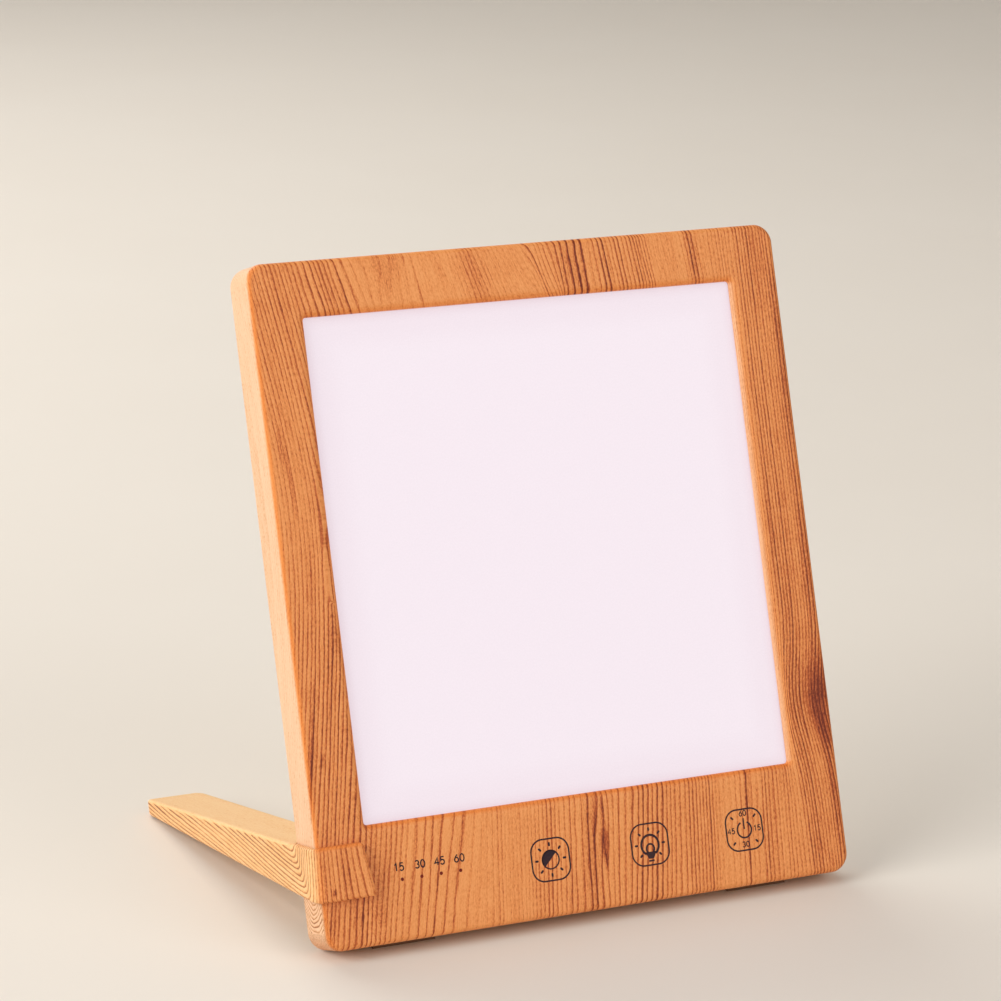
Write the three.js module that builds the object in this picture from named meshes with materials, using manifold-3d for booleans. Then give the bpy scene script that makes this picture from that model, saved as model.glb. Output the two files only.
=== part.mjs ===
// Light therapy lamp: a slim backlit panel in a wood-look frame that leans back on a clip-on stand.
// Millimetres, +Z up, the lit face towards -Y. The panel is drawn lying down: x across, y up its face,
// z out of its front, with the front face on z = 0 and the lower edge on y = 0. It is stood up at the end.
import * as THREE from "three";
import { mergeVertices } from "three/addons/utils/BufferGeometryUtils.js";
import Module from "manifold-3d";

const wasm = await Module();
wasm.setup();

// Clearance and fineness
const fitGap = 0.3; // between two pieces that touch
const cutOverrun = 1; // how far a cutter runs past the face it opens
const cornerSteps = 6; // steps round one corner of an outline
const edgeSteps = 3; // steps across one rounded edge
const ventSteps = 2; // steps round one corner of a vent
const roundSides = 16; // sides of a small round piece
const screwSides = 12;

// Panel frame
const panelWidth = 210;
const panelHeight = 240;
const panelDepth = 16;
const panelCorner = 7;
const frontRound = 1.8;
const backRound = 1;
const sideWall = 2;
const frontWall = 2.2;

// Window in the frame
const borderSide = 20;
const borderTop = 20;
const chinHeight = 42;
const windowFlare = 3; // how far the window's rounded edge reaches over the face
const windowRound = 1.7; // its depth
const windowCorner = 1.2;

// Light stack, from the window back
const plateLap = 3; // how far the plates reach behind the frame
const diffuserThickness = 2;
const guideThickness = 3;
const reflectorThickness = 0.4;
const trayThickness = 0.8;
const ledThickness = 0.8;
const ledLength = 3.6;
const ledHeight = 2.6;
const ledPitch = 7.5;
const stripThickness = 1;
const stripHeight = 4.4;
const stripEndGap = 2;
const railThickness = 1;
const ribThickness = 1.2;

// Screws and the posts that take them
const shankRadius = 1;
const shankLength = 5;
const shortShankLength = 4;
const headRadius = 2.1;
const headHeight = 1.1;
const headTopShare = 0.8; // flat top of a head, of its radius
const postRadius = 3;
const postInset = 8; // post axis from the outside of the panel
const pilotDepth = 6;
const shortPilotDepth = 4;
const trayPostInsetY = 66; // the lower and upper tray posts, from the ends of the panel
const trayEarHalf = 4.2;

// Back cover
const coverThickness = 2.3;
const ventWidth = 2.2;
const ventLength = 22;
const ventPitch = 8;
const ventCount = 9;
const highVentInset = 62; // middle of the upper row from the top of the panel
const lowVentInset = 72; // middle of the lower row from the bottom

// Touch keys and timer lights in the chin
const keyLeadRoom = 35.2; // from the last timer light to the first key
const keySideRoom = 42; // from the last key to the panel's right side
const lightSideRoom = 31.5; // from the panel's left side to the first timer light
const lightPitch = 7.5;
const lightRise = 1.6; // the timer lights above the middle of the keys
const lightRadius = 0.6;
const lightChip = 1.6;
const lightChipHeight = 0.7;

// Control board
const boardLowRoom = 5; // below the board
const wireRoom = 4.5; // between the board and the light stack
const boardBackRoom = 5; // between the board and the back cover
const boardThickness = 1.2;
const boardMargin = 13; // past the last key
const boardLeftMargin = 8; // past the first light
const boardScrewInset = 4;
const springRadius = 4;
const springWire = 0.35;
const springTurns = 3.5;
const springSteps = 28;
const springSides = 5;

// Parts on the back of the board: length across, height up the face, and how far they stand off
const controllerSize = [9, 7, 1.5];
const coilSize = [8, 8, 3.2];
const driverSize = [6, 5, 1.6];
const socketSize = [5, 7, 3.2];
const socketSpacing = 2;
const canRadius = 2.4;
const canHeight = 3.4;

// Power inlet in the right wall
const jackLength = 13;
const jackWidth = 10;
const jackHeight = 9;
const jackCollar = 4;
const jackBore = 3;
const jackBoreDepth = 9.5;
const jackPin = 1;
const jackPinRecess = 1.1; // pin's tip behind the panel's side
const cradleRib = 1.2;
const cradleHeight = 5;

// Wires inside
const wireRadius = 0.6;
const wireSides = 8;
const wireSteps = 14;
const wirePairGap = 1.8; // from wire to wire
const wireBend = 2.4;

// Rubber feet under the panel
const footWidth = 24;
const footInset = 34; // foot centre from the outside of the panel
const footFront = 11.2; // from the front face
const footBack = 14.4;
const footSink = 1; // how deep a foot sits in the wall
const footDrop = 0.6; // how far its rear edge stands out of the wall

// Stand: a wedge seen from the side, with a slot that the frame's edge slides into
const lipThickness = 2.7;
const clipWall = 2.7; // wall outside the frame's edge
const clipReach = 20.5; // how far the lip and the leg reach in from the panel's side, at the underside
const sideSlant = 9; // degrees that the leg's right side leans in towards the top
const legBack = 157; // rear end of the stand from the front face
const clipLow = 17.9; // underside of the stand at the front face
const clipHigh = 36.7;
const lowSlope = 11.3; // degrees, from square to the panel
const topSlope = 6.7;
const tipRound = 2.6;
const lipRound = 1.3;
const standEdgeRound = 1.2;
const standCorner = 4.5; // outer corner where the side turns into the lip
const tipCorner = 4; // left corner of the leg's tip, seen from above
const tipCornerRight = 7;
const gripThickness = 1.6;
const gripProud = 0.5; // how far it stands out of the slot's wall
const gripMargin = 2.5;
const rootWall = 3; // solid part of the leg behind the slot
const legWall = 2;
const hollowEnd = 22; // solid part of the leg at its tip
const legCoverThickness = 2.4;
const standScrewInset = 12;
const standBossRadius = 2.8;
const heelLength = 10;
const heelBack = 3; // heel's rear edge from the leg's tip
const heelMargin = 3.5; // from the sides of the leg
const heelSink = 1.2;
const heelDrop = 0.4;

// Places that follow from the sizes
const halfWidth = panelWidth / 2;
const windowWidth = panelWidth - 2 * borderSide;
const windowHigh = panelHeight - borderTop;
const plateWidth = windowWidth + 2 * plateLap;
const plateLow = chinHeight - plateLap;
const plateHigh = windowHigh + plateLap;
const diffuserFront = -frontWall - fitGap;
const guideFront = diffuserFront - diffuserThickness - fitGap;
const reflectorFront = guideFront - guideThickness - fitGap;
const trayFront = reflectorFront - reflectorThickness - fitGap;
const trayBack = trayFront - trayThickness;
const stripFace = plateWidth / 2 + fitGap; // the LEDs' face
const stripBack = stripFace + ledThickness + stripThickness;
const railFace = stripBack + fitGap;
const ribFace = railFace + railThickness + fitGap;
const postX = halfWidth - postInset;
const trayPostYs = [trayPostInsetY, panelHeight - trayPostInsetY];
const coverPostYs = [postInset, panelHeight / 2, panelHeight - postInset];
const coverBack = -panelDepth + fitGap;
const coverFront = coverBack + coverThickness;
const shankHole = shankRadius + fitGap;
const lightXs = [0, 1, 2, 3].map((step) => -halfWidth + lightSideRoom + step * lightPitch);
const firstKeyX = lightXs[3] + keyLeadRoom;
const lastKeyX = halfWidth - keySideRoom;
const keyPitch = (lastKeyX - firstKeyX) / 2;
const middleKeyX = firstKeyX + keyPitch;
const keyXs = [firstKeyX, middleKeyX, lastKeyX];
const boardLeft = lightXs[0] - boardLeftMargin;
const boardRight = lastKeyX + boardMargin;
const boardLow = sideWall + boardLowRoom;
const boardHigh = plateLow - fitGap - ribThickness - wireRoom;
const keyY = (boardLow + boardHigh) / 2;
const lightY = keyY + lightRise;
const boardBack = coverFront + boardBackRoom;
const boardFront = boardBack + boardThickness;
const springFront = -frontWall - fitGap;
const springBack = boardFront + fitGap;
const ledSocketY = boardHigh - boardScrewInset - postRadius;
const powerSocketY = ledSocketY - socketSize[1] - socketSpacing;
const socketX = (side) =>
  (side < 0 ? boardLeft : boardRight) - side * (2 * boardScrewInset + socketSize[0]);
const socketMiddleZ = boardBack - fitGap - socketSize[2] / 2;
const jackY = keyY;
const jackZ = -panelDepth / 2;
const jackInner = halfWidth - sideWall - fitGap - jackLength;

// Side view of the stand, as depth behind the front face and height up the panel
const slopeOf = (degrees) => Math.tan(THREE.MathUtils.degToRad(degrees));
const legLowAt = (depth) => clipLow + depth * slopeOf(lowSlope);
const legTopAt = (depth) => clipHigh + depth * slopeOf(topSlope);
const slotBack = panelDepth + fitGap + gripProud;
const rootFace = slotBack + gripThickness;
const standLeft = -halfWidth - fitGap - clipWall;
const standRight = -halfWidth + clipReach;
const standTopRight = standRight - (clipHigh - clipLow) * slopeOf(sideSlant);
const lipFront = -fitGap - lipThickness;
const standMiddle = (standLeft + standRight) / 2;
const hollowFrom = rootFace + rootWall;
const hollowTo = legBack - hollowEnd;
const hollowLeft = standLeft + legWall;
const hollowRight = standTopRight - legWall;
const standScrewDepths = [hollowFrom + standScrewInset, hollowTo - standScrewInset];
const heelEnd = legBack - heelBack;
const heelStart = heelEnd - heelLength;

// The surface that the lamp stands on, seen from the side: it touches the rear edges of a foot and the heel
const floorSlope = (legLowAt(heelEnd) - heelDrop + footDrop) / (heelEnd - footBack);
const leanBack = Math.atan(floorSlope);
const floorAt = (depth) => -footDrop + (depth - footBack) * floorSlope;

// Colours
const finishes = {
  wood: { color: 0xd98a52, roughness: 0.55, metalness: 0 },
  diffuser: { color: 0xf4eef6, roughness: 0.6, metalness: 0 },
  acrylic: { color: 0xe8f2f4, roughness: 0.1, metalness: 0 },
  white: { color: 0xf2f2f0, roughness: 0.7, metalness: 0 },
  aluminium: { color: 0xb8bcc0, roughness: 0.4, metalness: 1 },
  steel: { color: 0x8f9296, roughness: 0.35, metalness: 1 },
  board: { color: 0x1f5a3a, roughness: 0.5, metalness: 0 },
  black: { color: 0x1b1b1d, roughness: 0.6, metalness: 0 },
  rubber: { color: 0x242424, roughness: 0.9, metalness: 0 },
  brass: { color: 0xc9a24e, roughness: 0.3, metalness: 1 },
  red: { color: 0xa82820, roughness: 0.6, metalness: 0 },
};
const materials = Object.fromEntries(
  Object.entries(finishes).map(([name, look]) => [name, new THREE.MeshStandardMaterial({ name, ...look })]),
);

// A closed solid for cutting and joining, from a geometry
function solidOf(geometry) {
  const loose = geometry.index ? geometry.toNonIndexed() : geometry;
  const bare = new THREE.BufferGeometry().setAttribute("position", loose.attributes.position);
  const merged = mergeVertices(bare);
  return new wasm.Manifold(
    new wasm.Mesh({
      numProp: 3,
      vertProperties: merged.attributes.position.array,
      triVerts: new Uint32Array(merged.index.array),
    }),
  );
}

function geometryOf(solid) {
  const made = solid.getMesh();
  const geometry = new THREE.BufferGeometry();
  geometry.setAttribute("position", new THREE.BufferAttribute(made.vertProperties, 3));
  geometry.setIndex(new THREE.BufferAttribute(made.triVerts, 1));
  geometry.computeVertexNormals();
  return geometry;
}

const joined = (solids) => solids.reduce((all, next) => all.add(next));
const cut = (solid, cutters) => (cutters.length ? solid.subtract(joined(cutters)) : solid);

// A box between two corners
function box(low, high) {
  const size = high.map((value, axis) => value - low[axis]);
  const middle = high.map((value, axis) => (value + low[axis]) / 2);
  return new THREE.BoxGeometry(...size).translate(...middle);
}

// A round bar along z
function bar(x, y, zLow, zHigh, radius, sides = roundSides) {
  return new THREE.CylinderGeometry(radius, radius, zHigh - zLow, sides)
    .rotateX(Math.PI / 2)
    .translate(x, y, (zLow + zHigh) / 2);
}

// A round tube along a curve
function tube(path, radius, sides, steps) {
  const circle = new THREE.EllipseCurve(0, 0, radius, radius).getPoints(sides).slice(0, sides);
  return new THREE.ExtrudeGeometry(new THREE.Shape(circle), { steps, extrudePath: path });
}

// A convex outline with round corners: the function returned gives its points, taken in by an inset.
// Corners go round anticlockwise, each as [x, y, radius].
function outline(corners, steps = cornerSteps) {
  const arcs = corners.map(([x, y, radius], index) => {
    const here = new THREE.Vector2(x, y);
    const [before, after] = [corners.at(index - 1), corners[(index + 1) % corners.length]].map(
      ([otherX, otherY]) => new THREE.Vector2(otherX, otherY),
    );
    const inDirection = here.clone().sub(before).normalize();
    const outDirection = after.clone().sub(here).normalize();
    const start = Math.atan2(-inDirection.x, inDirection.y);
    const turn = Math.atan2(inDirection.cross(outDirection), inDirection.dot(outDirection));
    const middle = start + turn / 2;
    const reach = radius / Math.cos(turn / 2);
    const centre = here.sub(new THREE.Vector2(Math.cos(middle), Math.sin(middle)).multiplyScalar(reach));
    return { centre, radius, start, turn };
  });
  return (inset) =>
    arcs.flatMap(({ centre, radius, start, turn }) =>
      Array.from({ length: steps + 1 }, (_, step) => {
        const angle = start + (turn * step) / steps;
        const out = new THREE.Vector2(Math.cos(angle), Math.sin(angle));
        return centre.clone().addScaledVector(out, radius - inset);
      }),
    );
}

function rectangle(left, right, low, high, radius, steps) {
  const corners = [
    [left, low, radius],
    [right, low, radius],
    [right, high, radius],
    [left, high, radius],
  ];
  return outline(corners, steps);
}

// Levels that round the two rims of a stack: [height, inset] from the lower face up
function rims(low, high, lowRound, highRound) {
  const arc = (radius, step) => {
    const angle = ((Math.PI / 2) * step) / edgeSteps;
    return [radius * Math.sin(angle), radius * (1 - Math.cos(angle))];
  };
  const steps = Array.from({ length: edgeSteps + 1 }, (_, step) => step);
  const below = lowRound ? steps.map((step) => arc(lowRound, edgeSteps - step)) : [[0, 0]];
  const above = highRound ? steps.map((step) => arc(highRound, step)) : [[0, 0]];
  return [
    ...below.map(([rise, inset]) => [low + lowRound - rise, inset]),
    ...above.map(([rise, inset]) => [high - highRound + rise, inset]),
  ];
}

// A solid through an outline at each level, closed at both ends
function stack(outlineAt, levels) {
  const rings = levels.map(([height, inset]) => outlineAt(inset).map(({ x, y }) => [x, y, height]));
  const count = rings[0].length;
  const positions = rings.flat(2);
  const faces = [];
  for (let level = 0; level < rings.length - 1; level++) {
    for (let point = 0; point < count; point++) {
      const here = level * count + point;
      const next = level * count + ((point + 1) % count);
      faces.push(here, next, next + count, here, next + count, here + count);
    }
  }
  const top = (rings.length - 1) * count;
  for (let point = 1; point < count - 1; point++) {
    faces.push(0, point + 1, point, top, top + point, top + point + 1);
  }
  const geometry = new THREE.BufferGeometry();
  geometry.setAttribute("position", new THREE.Float32BufferAttribute(positions, 3));
  return geometry.setIndex(faces);
}

const straight = (low, high) => [
  [low, 0],
  [high, 0],
];
const prism = (outlineAt, low, high) => solidOf(stack(outlineAt, straight(low, high)));

// Turns a stack drawn as [depth, height up the panel] and stacked along x into place
const fromSide = (geometry) => geometry.rotateY(Math.PI / 2);
// Turns a stack drawn as [x, depth] and stacked up the panel into place
const fromAbove = (geometry) => geometry.rotateX(-Math.PI / 2);

// The same, for a plain polygon with sharp corners, as a solid
function sideWedge(points, left, right) {
  const sharp = () => points.map(([depth, height]) => new THREE.Vector2(depth, height));
  return solidOf(fromSide(stack(sharp, straight(left, right))));
}

function piece(name, finish, shape) {
  const geometry = shape.isBufferGeometry ? shape : geometryOf(shape);
  const mesh = new THREE.Mesh(geometry, materials[finish]);
  mesh.name = name;
  return mesh;
}

// A pan-head screw whose head seats at z = 0 and whose shank points to +z
function screwGeometry(length) {
  const profile = [
    [0, -headHeight],
    [headRadius * headTopShare, -headHeight],
    [headRadius, -headHeight / 2],
    [headRadius, 0],
    [shankRadius, 0],
    [shankRadius, length - shankRadius],
    [shankRadius / 2, length],
    [0, length],
  ].map(([radius, height]) => new THREE.Vector2(radius, height));
  return new THREE.LatheGeometry(profile, screwSides).rotateX(Math.PI / 2);
}

function screw(name, x, y, z, length = shankLength) {
  const mesh = piece(name, "steel", screwGeometry(length));
  mesh.position.set(x, y, z);
  return mesh;
}

// Front frame: front wall, side walls, window, posts and ribs in one moulding
function frontFrame() {
  const outer = rectangle(-halfWidth, halfWidth, 0, panelHeight, panelCorner);
  const shell = solidOf(stack(outer, rims(-panelDepth, 0, backRound, frontRound)));
  const [side, top, corner] = [halfWidth - sideWall, panelHeight - sideWall, panelCorner - sideWall];
  const hollow = rectangle(-side, side, sideWall, top, corner);
  const hollowed = shell.subtract(prism(hollow, -panelDepth - cutOverrun, -frontWall));
  const solids = [hollowed, ...framePosts(), ...ribs(), ...cradle()];
  const holes = [inletHole(), ...pilotHoles(), ...wireNotches(), ...lightHoles(), ...footSeats()];
  return cut(joined(solids), [windowCutter(), ...holes]);
}

// Ends of the screw posts and the depths of their pilot holes
function postPlaces() {
  const places = boardScrewPlaces().map(([x, y]) => [x, y, boardFront + fitGap, shortPilotDepth]);
  for (const x of [-postX, postX]) {
    for (const y of coverPostYs) places.push([x, y, coverFront + fitGap, pilotDepth]);
    for (const y of trayPostYs) places.push([x, y, trayFront + fitGap, shortPilotDepth]);
  }
  return places;
}

function framePosts() {
  return postPlaces().map(([x, y, end]) => solidOf(bar(x, y, end, -frontWall / 2, postRadius)));
}

function pilotHoles() {
  return postPlaces().map(([x, y, end, depth]) =>
    solidOf(bar(x, y, end - cutOverrun, end + depth, shankHole, screwSides)),
  );
}

function lightHoles() {
  const radius = lightRadius + fitGap;
  return lightXs.map((x) => solidOf(bar(x, lightY, -panelDepth, cutOverrun, radius, screwSides)));
}

function inletHole() {
  return solidOf(inletBar(halfWidth - sideWall - cutOverrun, halfWidth + cutOverrun, jackCollar + fitGap));
}

// Shallow seats for the rubber feet in the lower wall
function footSeats() {
  const reach = footWidth / 2 + fitGap;
  return footXs().map((x) =>
    solidOf(
      box([x - reach, -cutOverrun, -footBack - fitGap], [x + reach, footSink, -footFront + fitGap]),
    ),
  );
}

const footXs = () => [-1, 1].map((side) => side * (halfWidth - footInset));

// The window, flared at the front so that its edge comes out rounded
function windowCutter() {
  const opening = rectangle(-windowWidth / 2, windowWidth / 2, chinHeight, windowHigh, windowCorner);
  const flare = Array.from({ length: edgeSteps + 1 }, (_, step) => {
    const angle = ((Math.PI / 2) * step) / edgeSteps;
    return [-windowRound * (1 - Math.sin(angle)), -windowFlare * (1 - Math.cos(angle))];
  });
  return solidOf(stack(opening, [[-frontWall - cutOverrun, 0], ...flare, [cutOverrun, -windowFlare]]));
}

// A wall round the light stack
function ribs() {
  const ring = (grow, from, to) =>
    solidOf(
      box(
        [-ribFace - grow, plateLow - fitGap - grow, from],
        [ribFace + grow, plateHigh + fitGap + grow, to],
      ),
    );
  const end = trayFront + fitGap;
  return [ring(ribThickness, end, -frontWall / 2).subtract(ring(0, end - cutOverrun, -frontWall))];
}

// Gaps in the lower rib where the wires to the LED strips pass
function wireNotches() {
  const low = plateLow - fitGap - ribThickness - cutOverrun;
  return [-1, 1].map((side) => {
    const [left, right] = [side * stripFace, side * ribFace].sort((a, b) => a - b);
    const front = -frontWall - fitGap;
    return solidOf(box([left, low, trayFront - cutOverrun], [right, plateLow, front]));
  });
}

// Two ribs that hold the power inlet
function cradle() {
  const reach = jackWidth / 2 + fitGap;
  return [-1, 1].map((side) => {
    const [low, high] = [side * reach, side * (reach + cradleRib)].sort((a, b) => a - b);
    return solidOf(
      box(
        [jackInner, jackY + low, -frontWall - cradleHeight],
        [halfWidth - sideWall / 2, jackY + high, -frontWall / 2],
      ),
    );
  });
}

// Back cover: a flat plate inside the side walls, with screw seats and two rows of vents
function backCover() {
  const inset = sideWall + fitGap;
  const side = halfWidth - inset;
  const plate = rectangle(-side, side, inset, panelHeight - inset, panelCorner - inset);
  const seats = coverPostYs.flatMap((y) =>
    [-1, 1].flatMap((side) => [
      solidOf(bar(side * postX, y, coverBack - cutOverrun, coverFront + cutOverrun, shankHole, screwSides)),
      solidOf(bar(side * postX, y, coverBack - cutOverrun, coverBack + headHeight, headRadius + fitGap)),
    ]),
  );
  const vents = [lowVentInset, panelHeight - highVentInset].flatMap((row) =>
    Array.from({ length: ventCount }, (_, index) => {
      const x = (index - (ventCount - 1) / 2) * ventPitch;
      const end = ventWidth / 2;
      const slot = rectangle(x - end, x + end, row - ventLength / 2, row + ventLength / 2, end, ventSteps);
      return prism(slot, coverBack - cutOverrun, coverFront + cutOverrun);
    }),
  );
  const levels = rims(coverBack, coverFront, fitGap, 0);
  return cut(solidOf(stack(plate, levels)), [...seats, ...vents]);
}

// A flat plate of the light stack
function lightPlate(front, thickness) {
  return box([-plateWidth / 2, plateLow, front - thickness], [plateWidth / 2, plateHigh, front]);
}

// Tray that holds the light stack against the frame, with an ear at each of its posts
function tray() {
  const reach = ribFace + ribThickness;
  const low = plateLow - fitGap - ribThickness;
  const high = plateHigh + fitGap + ribThickness;
  const plate = solidOf(box([-reach, low, trayBack], [reach, high, trayFront]));
  const ears = trayPostYs.map((y) =>
    solidOf(
      box(
        [-postX - postRadius, y - trayEarHalf, trayBack],
        [postX + postRadius, y + trayEarHalf, trayFront],
      ),
    ),
  );
  const holes = trayPostYs.flatMap((y) =>
    [-1, 1].map((side) =>
      solidOf(bar(side * postX, y, trayBack - cutOverrun, trayFront + cutOverrun, shankHole, screwSides)),
    ),
  );
  return cut(joined([plate, ...ears]), holes);
}

// LED strip: a narrow board with a row of LEDs facing the edge of the light guide
function ledStrip(side) {
  const centre = guideFront - guideThickness / 2;
  const low = plateLow + stripEndGap;
  const high = plateHigh - stripEndGap;
  const across = (near, far) => [side * near, side * far].sort((a, b) => a - b);
  const [boardNear, boardFar] = across(stripFace + ledThickness, stripBack);
  const board = solidOf(
    box([boardNear, low, centre - stripHeight / 2], [boardFar, high, centre + stripHeight / 2]),
  );
  const count = Math.floor((high - low - ledLength) / ledPitch) + 1;
  const first = (low + high) / 2 - ((count - 1) * ledPitch) / 2;
  const [ledNear, ledFar] = across(stripFace, stripFace + ledThickness + stripThickness / 2);
  const leds = Array.from({ length: count }, (_, index) => {
    const y = first + index * ledPitch;
    return solidOf(
      box(
        [ledNear, y - ledLength / 2, centre - ledHeight / 2],
        [ledFar, y + ledLength / 2, centre + ledHeight / 2],
      ),
    );
  });
  return joined([board, ...leds]);
}

// Aluminium bar that carries heat away from a strip
function heatRail(side) {
  const [near, far] = [side * railFace, side * (railFace + railThickness)].sort((a, b) => a - b);
  return box([near, plateLow, trayFront + fitGap], [far, plateHigh, -frontWall - fitGap]);
}

function boardScrewPlaces() {
  return [boardLeft, boardRight].flatMap((edge, index) => {
    const x = edge + (index ? -boardScrewInset : boardScrewInset);
    return [boardLow + boardScrewInset, boardHigh - boardScrewInset].map((y) => [x, y]);
  });
}

// Control board with the four small LEDs under the timer lights
function controlBoard() {
  const board = solidOf(box([boardLeft, boardLow, boardBack], [boardRight, boardHigh, boardFront]));
  const chips = lightXs.map((x) =>
    solidOf(
      box(
        [x - lightChip / 2, lightY - lightChip / 2, boardFront - boardThickness / 2],
        [x + lightChip / 2, lightY + lightChip / 2, boardFront + lightChipHeight],
      ),
    ),
  );
  const holes = boardScrewPlaces().map(([x, y]) =>
    solidOf(bar(x, y, boardBack - cutOverrun, boardFront + cutOverrun, shankHole, screwSides)),
  );
  return cut(joined([board, ...chips]), holes);
}

// Touch spring between the board and the back of the front wall
function touchSpring(x) {
  class Helix extends THREE.Curve {
    getPoint(share, target = new THREE.Vector3()) {
      const angle = share * springTurns * 2 * Math.PI;
      const rise = THREE.MathUtils.lerp(springFront - springWire, springBack + springWire, share);
      return target.set(x + springRadius * Math.cos(angle), keyY + springRadius * Math.sin(angle), rise);
    }
  }
  return tube(new Helix(), springWire, springSides, springSteps);
}

// A part that stands on the back of the board, its middle at x, y
function boardPart(x, y, [length, height, stand]) {
  const front = boardBack - fitGap;
  return box([x - length / 2, y - height / 2, front - stand], [x + length / 2, y + height / 2, front]);
}

// A round bar on the power inlet's axis
function inletBar(from, to, radius) {
  return bar(0, 0, from, to, radius)
    .rotateY(Math.PI / 2)
    .translate(0, jackY, jackZ);
}

// Power inlet: body, collar through the wall, and the bore for a plug
function powerInlet() {
  const body = solidOf(
    box(
      [jackInner, jackY - jackWidth / 2, jackZ - jackHeight / 2],
      [jackInner + jackLength, jackY + jackWidth / 2, jackZ + jackHeight / 2],
    ),
  );
  const face = halfWidth - fitGap;
  const collar = solidOf(inletBar(jackInner + jackLength / 2, face, jackCollar));
  const bore = solidOf(inletBar(face - jackBoreDepth, face + cutOverrun, jackBore));
  return body.add(collar).subtract(bore);
}

function powerPin() {
  return inletBar(halfWidth - jackBoreDepth, halfWidth - jackPinRecess, jackPin);
}

// A wire through hand-placed points
function wire(points) {
  const path = new THREE.CatmullRomCurve3(points.map((point) => new THREE.Vector3(...point)));
  return tube(path, wireRadius, wireSides, wireSteps);
}

// A wire from a board socket to the foot of an LED strip: up off the board, along below the light stack,
// and up to the strip. The two wires of a pair lie one behind the other.
function stripWire(side, lane) {
  const start = socketX(side);
  const end = side * (stripFace + ledThickness);
  const startY = ledSocketY + socketSize[1] / 2 + fitGap;
  const endY = plateLow + stripEndGap - fitGap;
  const runY = (boardHigh + plateLow - ribThickness) / 2;
  const startZ = socketMiddleZ + (lane * wirePairGap) / 2;
  const endZ = guideFront - guideThickness / 2 + (lane * wirePairGap) / 2;
  return wire([
    [start, startY, startZ],
    [start, runY - wireBend, startZ],
    [start + side * wireBend, runY, startZ],
    [end - side * wireBend, runY, endZ],
    [end, runY + wireBend, endZ],
    [end, endY, endZ],
  ]);
}

// A wire from the power inlet to its socket
function inletWire(lane) {
  const start = socketX(1) + socketSize[0] / 2 + fitGap;
  const end = jackInner - fitGap;
  const startY = powerSocketY + (lane * wirePairGap) / 2;
  const endY = jackY + lane * (jackWidth / 2 - wirePairGap);
  return wire([
    [start, startY, socketMiddleZ],
    [boardRight, startY, socketMiddleZ],
    [(boardRight + end) / 2, (startY + endY) / 2, (socketMiddleZ + jackZ) / 2],
    [end - wireBend, endY, jackZ],
    [end, endY, jackZ],
  ]);
}

// Rubber foot: let into the lower wall, with its underside on the surface the lamp stands on
function foot(x) {
  const top = footSink - fitGap;
  return sideWedge(
    [
      [footFront, floorAt(footFront)],
      [footBack, floorAt(footBack)],
      [footBack, top],
      [footFront, top],
    ],
    x - footWidth / 2,
    x + footWidth / 2,
  );
}

// Leans the right side of a form in, in step with the height above the leg's underside
function slantRight(geometry) {
  const position = geometry.attributes.position;
  for (let index = 0; index < position.count; index++) {
    const rise = position.getY(index) - legLowAt(-position.getZ(index));
    const x = position.getX(index);
    if (x > standMiddle) position.setX(index, x - rise * slopeOf(sideSlant));
  }
  return geometry;
}

// Outer form of the stand: the side view rounded along its edges, and the corners seen from above
function standForm() {
  const side = outline([
    [lipFront, legLowAt(lipFront), lipRound],
    [legBack, legLowAt(legBack), tipRound],
    [legBack, legTopAt(legBack), tipRound],
    [lipFront, legTopAt(lipFront), lipRound],
  ]);
  const wedge = fromSide(stack(side, rims(standLeft, standRight, standEdgeRound, standEdgeRound)));
  const above = outline([
    [standLeft, lipFront, standCorner],
    [standRight, lipFront, lipRound],
    [standRight, legBack, tipCornerRight],
    [standLeft, legBack, tipCorner],
  ]);
  const low = legLowAt(lipFront) - cutOverrun;
  const high = legTopAt(legBack) + cutOverrun;
  const column = fromAbove(stack(above, straight(low, high)));
  return solidOf(slantRight(wedge)).intersect(solidOf(column));
}

// A strip of the leg between two depths, from a height above its underside to another
function legBand(from, to, below, above, left, right) {
  return sideWedge(
    [
      [from, legLowAt(from) + below],
      [to, legLowAt(to) + below],
      [to, legLowAt(to) + above],
      [from, legLowAt(from) + above],
    ],
    left,
    right,
  );
}

// A round bar square to the underside of the leg, from one height above the underside to another
function legBar(depth, from, to, radius, sides = screwSides) {
  const turn = THREE.MathUtils.degToRad(lowSlope);
  return new THREE.CylinderGeometry(radius, radius, to - from, sides)
    .translate(0, (from + to) / 2, 0)
    .rotateX(turn)
    .translate(standMiddle, legLowAt(depth), -depth);
}

// Hollow of the leg, above its cover, with the roof kept a wall thick
function legHollow() {
  return sideWedge(
    [
      [hollowFrom, legLowAt(hollowFrom) - cutOverrun],
      [hollowTo, legLowAt(hollowTo) - cutOverrun],
      [hollowTo, legTopAt(hollowTo) - legWall],
      [hollowFrom, legTopAt(hollowFrom) - legWall],
    ],
    hollowLeft,
    hollowRight,
  );
}

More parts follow.
